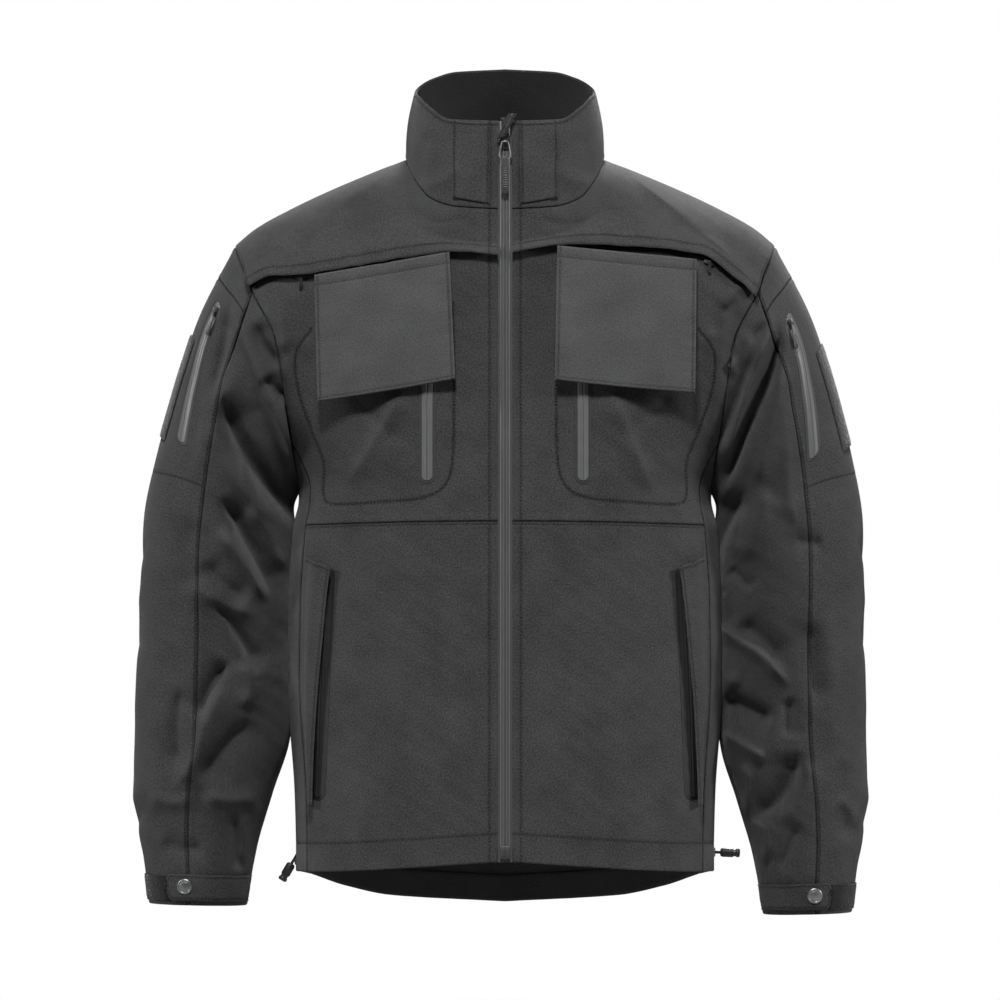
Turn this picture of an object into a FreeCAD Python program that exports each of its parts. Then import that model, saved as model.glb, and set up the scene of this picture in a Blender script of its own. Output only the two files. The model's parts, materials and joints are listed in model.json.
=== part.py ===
"""A hardshell jacket, built from its separate sewn panels and its trim.

Millimetres. +X is the wearer's left, +Y the wearer's back, +Z up. The origin is the hang loop, at the
middle of the back neck seam. Names say right and left as the wearer does, so right is -X.

The cloth panels are pieces of three smooth surfaces: the torso, the collar and the two sleeves. Each is
a thin solid between an outer skin and the same skin moved inwards. The trim (zips, sliders, snaps, cord
locks) is made of sketches and primitives whose sizes are bound to the spreadsheet.
"""
import FreeCAD, Part
import Sketcher
import math
import os
import re

V = FreeCAD.Vector
SIDES = (("right", -1), ("left", 1))

DIMENSIONS = [
    # torso
    ("torso_plane_y", -46, "middle plane of the torso, the hang loop being at y = 0"),
    ("chest_half_width", 206, "half width under the arms"),
    ("hem_half_width", 209, "half width at the hem"),
    ("shoulder_half_width", 270, "half width at the shoulder tips"),
    ("shoulder_tip_drop", 92, "shoulder tip below the back neck"),
    ("armpit_drop", 335, "armpit below the back neck"),
    ("front_top_z", 30, "top of the front edge"),
    ("front_hem_z", -702, "bottom of the front edge"),
    ("front_top_depth", 105, "front edge in front of the torso plane, at the top"),
    ("front_hem_depth", 145, "the same at the hem"),
    ("back_tail_drop", 50, "back hem below the front hem"),
    ("roundness", 2.4, "exponent of the torso's cross-section"),
    ("neck_half_width", 99, "half width of the neck seam"),
    ("collar_half_width", 90, "half width of the collar's rim"),
    ("collar_back_rise", 58, "back of the rim above its front"),
    ("cloth", 1.4, "thickness of the shell cloth"),
    ("seam_gap", 0.7, "space between two neighbouring panels"),
    ("yoke_flare", 8, "yoke's free edge in front of the chest"),
    ("sleeve_reach_right", 3, "right cuff further out than the pattern"),
    ("sleeve_reach_left", -6, "left cuff further out than the pattern"),
    ("sleeve_extra_left", 9, "left sleeve longer than the right as it hangs"),
    # main zip
    ("zip_window", 14, "space between the two front edges"),
    ("tape_width", 12, "one tape of the main zip"),
    ("tape_thickness", 0.8, "zip tape"),
    ("coil_width", 4.4, "closed coil"),
    ("coil_thickness", 1.4, "closed coil"),
    ("slider_width", 10.6, "main slider"),
    ("slider_length", 14, "main slider"),
    ("slider_plate", 1.3, "thickness of a slider plate"),
    ("bail_height", 2.4, "bridge on top of a slider"),
    ("pull_width", 8.4, "main pull tab"),
    ("pull_length", 52, "main pull from its pin to its end"),
    ("pull_thickness", 2.2, "main pull tab"),
    ("wire", 1.5, "wire of the pull's loop"),
    ("stop_width", 10, "retainer box at the bottom of the main zip"),
    ("stop_height", 13, "retainer box"),
    ("stop_thickness", 3, "retainer box"),
    # pocket zips
    ("pocket_tape_width", 10.5, "both tapes of a pocket zip"),
    ("pocket_slider_width", 6.6, "pocket slider"),
    ("pocket_slider_length", 10, "pocket slider"),
    ("pocket_pull_width", 4.6, "pull of a pocket slider"),
    ("pocket_pull_length", 24, "pull of a pocket slider"),
    ("pocket_pull_thickness", 1.1, "pull of a pocket slider"),
    ("chest_zip_length", 214, "chest pocket zip"),
    ("sleeve_zip_length", 142, "sleeve pocket zip"),
    ("hand_zip_length", 228, "hand pocket zip"),
    ("yoke_zip_length", 150, "zip of the panel pocket under the yoke"),
    # trim
    ("id_panel_thickness", 1.3, "pull-out panel"),
    ("id_panel_drop", 124, "pull-out panel"),
    ("id_panel_stand", 5, "back of the panel in front of the chest"),
    ("snap_cap_radius", 7.6, "line 24 snap cap"),
    ("snap_cap_height", 2.2, "snap cap"),
    ("snap_stud_radius", 5.2, "stud half of the snap"),
    ("snap_stud_height", 1.6, "stud half of the snap"),
    ("cuff_tab_cloth", 1.8, "cuff tab, two layers"),
    ("lock_radius", 4.6, "cord lock barrel"),
    ("lock_length", 13, "cord lock barrel"),
    ("button_radius", 3.6, "cord lock button"),
    ("cord_radius", 1.5, "hem drawcord"),
    ("loop_width", 7, "hang loop strap"),
    ("loop_thickness", 1.6, "hang loop strap"),
    ("loop_span", 56, "hang loop with its sewn ends"),
    ("loop_depth", 9, "room inside the hang loop"),
]
DIM = {name: value for name, value, _ in DIMENSIONS}


# ---------------------------------------------------------------- curves and surfaces

def along(stations, at):
    """Smooth curve through (place, value) stations that never overshoots; flat beyond both ends."""
    if at <= stations[0][0]:
        return stations[0][1]
    if at >= stations[-1][0]:
        return stations[-1][1]
    steps = [(b[1] - a[1]) / (b[0] - a[0]) for a, b in zip(stations, stations[1:])]
    slopes = [steps[0]]
    for before, after in zip(steps, steps[1:]):
        slopes.append(2 * before * after / (before + after) if before * after > 0 else 0)
    slopes.append(steps[-1])
    k = next(i for i in range(len(steps)) if at <= stations[i + 1][0])
    (x0, y0), (x1, y1) = stations[k], stations[k + 1]
    span = x1 - x0
    t = (at - x0) / span
    return ((2 * t ** 3 - 3 * t ** 2 + 1) * y0 + (t ** 3 - 2 * t ** 2 + t) * span * slopes[k]
            + (3 * t ** 2 - 2 * t ** 3) * y1 + (t ** 3 - t ** 2) * span * slopes[k + 1])


def mix(a, b, t):
    return a + (b - a) * t


def ease(t):
    t = min(1, max(0, t))
    return t * t * (3 - 2 * t)


MID_Y = DIM["torso_plane_y"]
FRONT_SLOPE = ((DIM["front_hem_depth"] - DIM["front_top_depth"])
               / (DIM["front_top_z"] - DIM["front_hem_z"]))
CHEST, HEM = DIM["chest_half_width"], DIM["hem_half_width"]
PIT_Z, TIP_Z = -DIM["armpit_drop"], -DIM["shoulder_tip_drop"]
TIP_X = DIM["shoulder_half_width"]

# half width of the torso's cross-section at each height; over the armpits it is wider than the jacket,
# because the armholes cut its ends off
HALF_WIDTH = [(-780, HEM), (-700, HEM), (-540, HEM + 4), (-445, HEM + 3), (PIT_Z, CHEST),
              (-300, CHEST + 13), (-250, CHEST + 51), (-200, CHEST + 87), (-150, CHEST + 116),
              (-100, CHEST + 129)]
BACK_DEPTH = [(-780, 142), (-600, 136), (-450, 138), (PIT_Z, 146), (-200, 140), (-100, 120),
              (-50, 98), (0, 69), (100, 45)]
# height of the shoulder ridge at each distance from the middle
RIDGE = [(0, 60), (60, 26), (85, 4), (97, -4), (125, -15), (175, -36), (213, -54), (249, -74),
         (TIP_X, TIP_Z), (300, TIP_Z - 34)]
SHOULDER_ROLL = [(0, 110), (100, 105), (TIP_X, 88)]
ARMHOLE = [(PIT_Z, CHEST - 1), (-250, 218), (-185, 228), (-140, 250), (TIP_Z, TIP_X)]
HEM_DROP = [(0, 0), (65, 12), (100, 15), (118, 20), (135, 33), (150, 43), (180, DIM["back_tail_drop"])]
# share of the collar's back rise at each angle from the front edge
RIM_RISE = [(0, 0), (33, 0.04), (48, 0.26), (62, 0.46), (85, 0.57), (105, 0.65), (131, 0.84), (148, 0.95), (180, 1)]
NECK_FRONT = [(0, -58), (49, -55), (73, -47), (90, -27), (97, -12), (DIM["neck_half_width"], -5)]
NECK_BACK = [(0, 0), (60, -1), (85, -3), (DIM["neck_half_width"], -5)]
YOKE_EDGE_RIGHT = [(0, -104), (50, -100), (97, -106), (170, -119), (205, -124), (228, -125), (270, -149)]
YOKE_EDGE_LEFT = [(0, -102), (60, -93), (108, -95), (191, -104), (224, -127), (250, -150), (270, -164)]
# outer and inner upper corner of each pull-out panel: distance from the middle, height
ID_PANEL = {"right": ((188, -128), (54, -106)), "left": ((192, -113), (52, -101))}
SIDE_SEAM = 65      # ring angle of the front side seams, in degrees from the front edge
BACK_SEAM = 116     # the same for the back side seams
BACK_YOKE_Z = -190
WAIST_Z = -366


def round_factor(sine, cosine, power):
    return (abs(sine) ** power + abs(cosine) ** power) ** (-1 / power)


def front_depth(z):
    return DIM["front_top_depth"] + (DIM["front_top_z"] - z) * FRONT_SLOPE


def torso_point(x, z, back=False):
    """A point of the torso's front or back at a given width and height."""
    power = DIM["roundness"]
    across = (1 - min(1, abs(x) / along(HALF_WIDTH, z)) ** power) ** (1 / power)
    below = max(0, along(RIDGE, abs(x)) - z) / along(SHOULDER_ROLL, abs(x))
    roll = math.sqrt(max(0, 1 - (1 - min(1, below)) ** 2))
    depth = along(BACK_DEPTH, z) if back else -front_depth(z)
    return V(x, MID_Y + depth * across * roll, z)


def ring_point(degrees, z, side=1):
    """A point of the torso at a ring angle: 0 is the front edge, 90 the side, 180 the middle back."""
    sine, cosine = math.sin(math.radians(degrees)), math.cos(math.radians(degrees))
    factor = round_factor(sine, cosine, DIM["roundness"])
    depth = front_depth(z) if cosine > 0 else along(BACK_DEPTH, z)
    return V(side * along(HALF_WIDTH, z) * factor * sine, MID_Y - depth * factor * cosine, z)


def hem_z(degrees):
    return DIM["front_hem_z"] - along(HEM_DROP, degrees)


def seam_half_width(z, degrees):
    """Distance from the middle to a side seam, or to the armhole where that comes first."""
    sine, cosine = math.sin(math.radians(degrees)), math.cos(math.radians(degrees))
    ring = along(HALF_WIDTH, z) * round_factor(sine, cosine, DIM["roundness"]) * sine
    return ring if z <= PIT_Z else min(ring, along(ARMHOLE, z))


def armhole_z(degrees):
    """Height at which a side seam at this ring angle meets the armhole."""
    low, high = PIT_Z, PIT_Z + 85
    for _ in range(30):
        middle = (low + high) / 2
        sine, cosine = math.sin(math.radians(degrees)), math.cos(math.radians(degrees))
        ring = along(HALF_WIDTH, middle) * round_factor(sine, cosine, DIM["roundness"]) * sine
        low, high = (middle, high) if ring < along(ARMHOLE, middle) else (low, middle)
    return low


def collar_rim(degrees):
    """A point of the collar's rim, by angle from the front edge round the wearer's left."""
    turn = abs(degrees)
    sine, cosine = math.sin(math.radians(turn)), math.cos(math.radians(turn))
    factor = round_factor(sine, cosine, 3 if cosine > 0 else 2.3)
    depth = DIM["front_top_depth"] if cosine > 0 else 50
    rise = DIM["collar_back_rise"] * along(RIM_RISE, turn)
    return V(math.copysign(DIM["collar_half_width"] * factor * sine, degrees),
             MID_Y - depth * factor * cosine, DIM["front_top_z"] + rise)


def neck_seam(degrees):
    turn = abs(degrees)
    x = DIM["neck_half_width"] * math.sin(math.radians(turn))
    curve = NECK_FRONT if turn < 90 else NECK_BACK
    return torso_point(math.copysign(x, degrees), along(curve, x), back=turn >= 90)


def collar_point(degrees, rise):
    """A point of the collar: rise 0 is the neck seam, 1 the rim; its middle bows out a little."""
    point = neck_seam(degrees) + (collar_rim(degrees) - neck_seam(degrees)) * rise
    bow = 3 * math.sin(math.pi * rise) * ease(abs(degrees) / 40)
    away = V(point.x, point.y - MID_Y, 0)
    return point + away.normalize() * bow


# Sleeve sections of the right sleeve: outer and inner point in the X-Z plane, and half its depth.
# Between them a section is a rounded loop. The first is the armhole itself.
SECTIONS = [
    ((-TIP_X, TIP_Z), (-CHEST + 1, PIT_Z), 90),
    ((-303, -155), (-211, -350), 84),
    ((-322, -208), (-213, -362), 76),
    ((-336, -255), (-214, -380), 72),
    ((-348, -300), (-215, -404), 69),
    ((-359, -352), (-215, -437), 68),
    ((-362, -400), (-216, -472), 67),
    ((-363, -450), (-216, -507), 66),
    ((-366, -510), (-216, -547), 64),
    ((-368, -570), (-219, -592), 63),
    ((-369, -630), (-232, -637), 60),
    ((-364, -675), (-245, -680), 57),
    ((-359, -700), (-251, -707), 54),
    ((-356, -722), (-254, -724), 52),
    ((-353, -748), (-258, -750), 49),
]
LAST = len(SECTIONS) - 1
SLEEVE_Y = MID_Y + 6
SLEEVE_SEAM = [(0, 52), (1, 66), (3, 73), (5, 77), (9, 80), (LAST, 82)]


def section(number, turn, side):
    """A point of one sleeve section: turn 0 is outermost, 90 the front, 180 innermost, 270 the back."""
    (ox, oz), (ix, iz), half_depth = SECTIONS[number]
    if side > 0:
        reach, extra = DIM["sleeve_reach_left"], DIM["sleeve_extra_left"]
    else:
        reach, extra = DIM["sleeve_reach_right"], 0
    down = ease((-oz - 200) / 400)
    cosine, sine = math.cos(math.radians(turn)), math.sin(math.radians(turn))
    if number == 0:
        z = mix(iz, oz, (1 + cosine) / 2)
        return torso_point(side * along(ARMHOLE, z), z, back=sine < 0)
    factor = round_factor(sine, cosine, 2.2)
    ox -= reach * down
    middle_x, middle_z = (ox + ix) / 2, (oz + iz) / 2 - extra * down
    reach_x, reach_z = (ox - ix) / 2, (oz - iz) / 2
    return V(-side * (middle_x + reach_x * cosine * factor),
             SLEEVE_Y - half_depth * sine * factor,
             middle_z + reach_z * cosine * factor)


def sleeve_point(place, turn, side):
    """A point of a sleeve: place counts sections from the armhole, 0, to the cuff, LAST."""
    k = min(LAST - 1, int(place))
    t = place - k
    a, b = section(k, turn, side), section(k + 1, turn, side)
    before = section(max(0, k - 1), turn, side)
    after = section(min(LAST, k + 2), turn, side)
    leave = (b - before) * (0.5 if k else 1)
    arrive = (after - a) * (0.5 if k + 2 <= LAST else 1)
    return (a * (2 * t ** 3 - 3 * t ** 2 + 1) + leave * (t ** 3 - 2 * t ** 2 + t)
            + b * (3 * t ** 2 - 2 * t ** 3) + arrive * (t ** 3 - t ** 2))


def outward(surface, u, v, flip=1):
    """Unit normal of a surface given as a function of (u, v) from 0 to 1."""
    step = 0.01
    du = surface(min(1, u + step), v) - surface(max(0, u - step), v)
    dv = surface(u, min(1, v + step)) - surface(u, max(0, v - step))
    normal = du.cross(dv) * flip
    return normal.normalize() if normal.Length else V(0, -1, 0)


def skin(points):
    """A cubic surface drawn smoothly along a grid of points; it meets the grid at its corners."""
    counts = len(points), len(points[0])
    knots = [[0.0] + [i / (n - 3) for i in range(1, n - 3)] + [1.0] for n in counts]
    repeats = [[4] + [1] * (n - 4) + [4] for n in counts]
    surface = Part.BSplineSurface()
    surface.buildFromPolesMultsKnots(points, repeats[0], repeats[1], knots[0], knots[1], False, False, 3, 3)
    return surface


def rims(surface):
    u0, u1, v0, v1 = surface.bounds()
    return [surface.uIso(u0), surface.uIso(u1), surface.vIso(v0), surface.vIso(v1)]


def thick_solid(outer, inner):
    """The closed solid between two grids of points, with ruled faces along its rims."""
    skins = [skin(outer), skin(inner)]
    faces = [s.toShape() for s in skins]
    for a, b in zip(rims(skins[0]), rims(skins[1])):
        faces.append(Part.makeRuledSurface(a.toShape(), b.toShape()))
    shell = Part.makeCompound(faces)
    shell.sewShape(0.01)
    solid = Part.makeSolid(shell.Shells[0])
    if solid.Volume < 0:
        solid.reverse()
    return solid


def cloth_solid(surface, flip, columns, rows, lift=0, thickness=None):
    """A panel of cloth on a surface(u, v). lift, a number or a function of (u, v), moves it outwards."""
    thickness = thickness or DIM["cloth"]
    outer, inner = [], []
    for i in range(columns + 1):
        u = i / columns
        outer.append([])
        inner.append([])
        for j in range(rows + 1):
            v = j / rows
            normal = outward(surface, u, v, flip)
            raised = lift(u, v) if callable(lift) else lift
            point = surface(u, v)
            outer[i].append(point + normal * raised)
            inner[i].append(point + normal * (raised - thickness))
    return thick_solid(outer, inner)


# ---------------------------------------------------------------- the document

class Jacket:
    """The document, its spreadsheet and the nodes made so far."""

    def __init__(self):
        self.doc = FreeCAD.newDocument("hardshell_jacket")
        self.nodes = []
        self.axes = {}          # joint name: a point on its axis, and the axis
        sheet = self.doc.addObject("Spreadsheet::Sheet", "sizes")
        for row, (name, value, meaning) in enumerate(DIMENSIONS, start=1):
            sheet.set(f"A{row}", name)
            sheet.set(f"B{row}", str(value))
            sheet.set(f"C{row}", meaning)
            sheet.setAlias(f"B{row}", name)
        self.doc.recompute()

    def feature(self, label, solids, placement=None):
        """A node whose solids come from Part's own functions."""
        item = self.doc.addObject("Part::Feature", label)
        item.Shape = solids[0] if len(solids) == 1 else Part.makeCompound(solids)
        if placement:
            item.Placement = placement
        return self.keep(item, label)

    def primitive(self, kind, name, placement=None, **sizes):
        """A Part primitive whose sizes are expressions of the spreadsheet, or plain numbers."""
        item = self.doc.addObject(kind, name)
        for field, size in sizes.items():
            if isinstance(size, str):
                item.setExpression(field, spelled(size))
            else:
                setattr(item, field, size)
        if placement:
            item.Placement = placement
        return item

    def join(self, label, pieces, placement=None, fused=True):
        """One node of several pieces: fused into one solid, or kept as separate solids."""
        item = self.doc.addObject("Part::MultiFuse" if fused else "Part::Compound", label)
        setattr(item, "Shapes" if fused else "Links", pieces)
        if placement:
            item.Placement = placement
        return self.keep(item, label)

    def outline(self, body, corners, plane, name):
        """A closed sketch of straight edges whose corners are bound to the spreadsheet."""
        sketch = body.newObject("Sketcher::SketchObject", name)
        origin = next(f for f in body.Origin.OriginFeatures if f.Role == plane)
        sketch.AttachmentSupport = [(origin, "")]
        sketch.MapMode = "FlatFace"
        values = [(evaluated(x), evaluated(y)) for x, y in corners]
        count = len(values)
        for i, (x, y) in enumerate(values):
            after = values[(i + 1) % count]
            sketch.addGeometry(Part.LineSegment(V(x, y, 0), V(after[0], after[1], 0)), False)
        for i in range(count):
            sketch.addConstraint(Sketcher.Constraint("Coincident", i, 2, (i + 1) % count, 1))
        for i, (x, y) in enumerate(corners):
            for kind, size, value in (("DistanceX", x, values[i][0]), ("DistanceY", y, values[i][1])):
                index = sketch.addConstraint(Sketcher.Constraint(kind, -1, 1, i, 1, value))
                if isinstance(size, str):
                    sketch.setExpression(f"Constraints[{index}]", spelled(size))
        return sketch

    def padded(self, label, corners, length, placement=None, kept=True, plane="XZ_Plane"):
        """A body padded from an outline; on the X-Z plane it grows towards -Y."""
        body = self.doc.addObject("PartDesign::Body", label)
        sketch = self.outline(body, corners, plane, label + "_outline")
        pad = body.newObject("PartDesign::Pad", label + "_pad")
        pad.Profile = sketch
        pad.setExpression("Length", spelled(length))
        sketch.Visibility = False
        if placement:
            body.Placement = placement
        return self.keep(body, label) if kept else body

    def turned(self, label, corners, placement=None, kept=True):
        """A body turned about its own Y axis from an outline on the X-Y plane."""
        body = self.doc.addObject("PartDesign::Body", label)
        sketch = self.outline(body, corners, "XY_Plane", label + "_profile")
        turn = body.newObject("PartDesign::Revolution", label + "_turn")
        turn.Profile = sketch
        turn.ReferenceAxis = (sketch, ["V_Axis"])
        turn.Angle = 360
        if placement:
            body.Placement = placement
        return self.keep(body, label) if kept else body

    def keep(self, item, label):
        item.Label = label
        self.nodes.append(item)
        return item


def spelled(expression):
    """An expression with each dimension's name written as a cell of the sheet."""
    return re.sub(r"[a-z_]+", lambda word: "sizes." + word.group(), expression)


def evaluated(size):
    """The number an expression of dimensions stands for: terms joined by + and -, factors by * and /."""
    if not isinstance(size, str):
        return size
    total = 0
    for term in size.replace("-", "+-").split("+"):
        term = term.strip()
        if not term:
            continue
        sign = -1 if term.startswith("-") else 1
        value = sign
        for place, part in enumerate(term.lstrip("-").strip().replace("/", "*/").split("*")):
            part = part.strip()
            number = part.lstrip("/")
            factor = DIM[number] if number in DIM else float(number)
            value = value / factor if part.startswith("/") else value * factor
        total += value
    return total


def at(x, y, z):
    return FreeCAD.Placement(V(x, y, z), FreeCAD.Rotation())


def frame_on(top, bottom, facing):
    """A placement whose Z axis runs up from bottom to top and whose -Y axis faces outwards, at top."""
    up = (top - bottom).normalize()
    right = up.cross(facing * -1).normalize() * -1
    back = up.cross(right)
    return FreeCAD.Placement(top, FreeCAD.Rotation(right, back, up, "ZXY"))


def front_line():
    """The frame of the front edge: at its top, Z up along it and -Y towards the front."""
    top = V(0, MID_Y - DIM["front_top_depth"], DIM["front_top_z"])
    bottom = V(0, MID_Y - DIM["front_hem_depth"], DIM["front_hem_z"])
    return frame_on(top, bottom, V(0, -1, 0))


# ---------------------------------------------------------------- cloth panels

def yoke_edge(side, x):
    return along(YOKE_EDGE_LEFT if side > 0 else YOKE_EDGE_RIGHT, abs(x))


def front_edge_x():
    return DIM["zip_window"] / 2


def lower_front(side):
    """From the hem up to the waist seam, from the front edge to the side seam."""
    def surface(u, v):
        z = mix(hem_z(u * SIDE_SEAM), WAIST_Z - 4 * u * u - DIM["seam_gap"], v)
        wide = seam_half_width(z, SIDE_SEAM) - DIM["seam_gap"]
        return torso_point(side * mix(front_edge_x(), wide, 1 - (1 - u) ** 1.5), z)
    return surface


def chest(side):
    """From the waist seam up to its hidden edge under the yoke."""
    tuck = 14

    def surface(u, v):
        widest = along(ARMHOLE, yoke_edge(side, 250))
        top = yoke_edge(side, mix(front_edge_x(), widest, u)) + tuck * (1 - u * u) - 3
        z = mix(WAIST_Z - 4 * u * u, top, v)
        wide = seam_half_width(z, SIDE_SEAM) - DIM["seam_gap"]
        return torso_point(side * mix(front_edge_x(), wide, 1 - (1 - u) ** 1.4), z)
    return surface


def shoulder_surface(side, edge, neck, back=False):
    """From the shoulder ridge and the neck seam down to an edge; v runs down, u outwards."""
    def surface(u, v):
        inner = front_edge_x() if not back else 0
        top_x = mix(inner, TIP_X - DIM["seam_gap"], u)
        low_x = mix(inner, along(ARMHOLE, edge(TIP_X - 20)) - 1, u)
        at_neck = top_x < DIM["neck_half_width"]
        ridge_gap = 0.01 if back else 0
        top = along(neck, top_x) - DIM["seam_gap"] if at_neck else along(RIDGE, top_x) - ridge_gap
        spacing = mix(1, 2, ease((top_x - 40) / 60))
        z = mix(top, edge(low_x), v ** spacing)
        outer = along(ARMHOLE, mix(TIP_Z, edge(TIP_X - 20), v * v)) - DIM["seam_gap"]
        return torso_point(side * mix(inner, outer, u), z, back)
    return surface


def yoke_lift(u, v):
    """The yoke's lower edge stands in front of the chest, so that the panels hang from under it."""
    return 0.2 + DIM["yoke_flare"] * ease((v - 0.72) / 0.28)


def back_sheet(u, v):
    x = (2 * u - 1)
    z = mix(hem_z(180 - abs(x) * (180 - BACK_SEAM)), BACK_YOKE_Z - DIM["seam_gap"], v)
    wide = seam_half_width(z, BACK_SEAM) - DIM["seam_gap"]
    return torso_point(wide * math.copysign(1 - (1 - abs(x)) ** 1.4, x), z, back=True)


def back_yoke_sheet(u, v):
    x = 2 * u - 1
    half = shoulder_surface(1, lambda _: BACK_YOKE_Z, NECK_BACK, back=True)
    point = half(abs(x), v)
    return V(math.copysign(point.x, x), point.y, point.z)


def side_sheet(side):
    def surface(u, v):
        degrees = mix(SIDE_SEAM + 0.4, BACK_SEAM - 0.4, u)
        return ring_point(degrees, mix(hem_z(degrees), armhole_z(degrees) - 1.5, v), side)
    return surface


def build_torso(jacket):
    for name, side in SIDES:
        cloth = cloth_solid(lower_front(side), side, 10, 8)
        jacket.feature(f"lower_front_{name}", [cloth])
        jacket.feature(f"chest_{name}", [cloth_solid(chest(side), side, 12, 9)])
        yoke = shoulder_surface(side, lambda x, s=side: yoke_edge(s, x), NECK_FRONT)
        jacket.feature(f"front_yoke_{name}", [cloth_solid(yoke, -side, 16, 9, yoke_lift)])
        jacket.feature(f"side_panel_{name}", [cloth_solid(side_sheet(side), side, 7, 8)])
    jacket.feature("back_panel", [cloth_solid(back_sheet, -1, 16, 9)])
    jacket.feature("back_yoke", [cloth_solid(back_yoke_sheet, 1, 24, 8)])


def build_sleeves(jacket):
    first = 0.12
    for name, side in SIDES:
        def outer(u, v):
            place = mix(first, LAST, v)
            edge = along(SLEEVE_SEAM, place) - 0.5
            return sleeve_point(place, mix(-edge, edge, u), side)

        def inner(u, v):
            place = mix(first, LAST, v)
            edge = along(SLEEVE_SEAM, place) + 0.5
            return sleeve_point(place, mix(edge, 360 - edge, u), side)

        jacket.feature(f"sleeve_outer_{name}", [cloth_solid(outer, side, 10, 16)])
        jacket.feature(f"sleeve_inner_{name}", [cloth_solid(inner, side, 12, 16)])


def collar_sheet(start, low, high):
    """The collar from one front edge round the back to the other, between two heights."""
    def surface(u, v):
        return collar_point(around(start, u), mix(low, high, v))
    return surface


def around(start, u):
    """Angle round the neck: from the wearer's right front edge, by the back, to the left front edge."""
    turn = mix(start, 360 - start, u)
    return -turn if turn < 180 else 360 - turn


def build_collar(jacket):
    gap = 0.012
    edge = math.degrees(math.asin(front_edge_x() / DIM["neck_half_width"]))
    behind_tape = edge + 4.5
    jacket.feature("collar_outer", [cloth_solid(collar_sheet(edge, gap, 1), -1, 30, 5)])
    jacket.feature("collar_lining", [cloth_solid(collar_sheet(behind_tape, gap, 0.99), -1, 30, 5,
                                                 lift=-DIM["cloth"] - 0.4, thickness=1.0)])
    guards = []
    for low, high in ((-31, -9), (9, 31)):
        def guard(u, v):
            return collar_point(mix(low, high, u), mix(0.08, 0.97, v))
        guards.append(cloth_solid(guard, 1, 4, 4, lift=1.6, thickness=1.2))
    jacket.feature("collar_guards", guards)


# ---------------------------------------------------------------- main zip

def build_main_zip(jacket):
    """Two laminated tapes with the coil behind them, a slider, its pull and the box at the bottom."""
    front = front_line()
    length = (DIM["front_top_z"] - DIM["front_hem_z"]) * math.hypot(1, FRONT_SLOPE)
    tape_y = DIM["cloth"] + 0.6
    tapes = []
    for name, side in SIDES:
        x = 0.3 if side > 0 else -0.3 - DIM["tape_width"]
        tapes.append(jacket.primitive("Part::Box", f"main_tape_{name}", front * at(x, tape_y, -length),
                                      Length="tape_width", Width="tape_thickness", Height=length))
    jacket.join("main_zip_tapes", tapes, fused=False)
    coil_y = tape_y + DIM["tape_thickness"] + 0.1
    corner = at(-DIM["coil_width"] / 2, coil_y, -length)
    coil = jacket.primitive("Part::Box", "main_zip_coil", front * corner,
                            Length="coil_width", Width="coil_thickness", Height=length)
    jacket.keep(coil, "main_zip_coil")
    stop_y = tape_y - 0.2
    jacket.padded("main_zip_stop", rounded_bar("stop_width", "stop_height"), "stop_thickness",
                  front * at(0, stop_y, -length + 3))
    jacket.padded("storm_flap", [(-16, 0), (16, 0), (16, length - 8), (-16, length - 8)], "cloth",
                  front * at(0, coil_y + 6.4, -length + 2))
    build_main_slider(jacket, front, tape_y, coil_y)
    garage = [jacket.padded("garage_fold_right", [(-8.5, -17), (-1, -17), (3, -10), (6, 4), (-5, 5)],
                            "cloth", front * at(0, -7.2, 0), kept=False),
              jacket.padded("garage_fold_left", [(2, -14), (6, -16), (11, 0), (9, 5), (3, 5)],
                            "cloth", front * at(0, -8.8, 0), kept=False)]
    jacket.join("zip_garage", garage, fused=False)


def rounded_bar(width, height):
    """An upright bar about the Y-Z plane with its corners cut, from z = 0 up."""
    half = f"{width}/2"
    return [(f"-{half}+1.5", 0), (f"{half}-1.5", 0), (half, 1.5), (half, f"{height}-1.5"),
            (f"{half}-1.5", height), (f"-{half}+1.5", height), (f"-{half}", f"{height}-1.5"),
            (f"-{half}", 1.5)]


def slider_outline(width, length):
    """A zip slider from the front: wide shoulders above a narrower tail, its top at z = 0."""
    half, tail = f"{width}/2", f"{width}*0.36"
    return [(f"-{tail}", f"-{length}"), (tail, f"-{length}"), (half, f"-{length}*0.4"),
            (half, f"-{length}*0.15"), (f"{width}*0.3", 0), (f"-{width}*0.3", 0),
            (f"-{half}", f"-{length}*0.15"), (f"-{half}", f"-{length}*0.4")]


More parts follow.
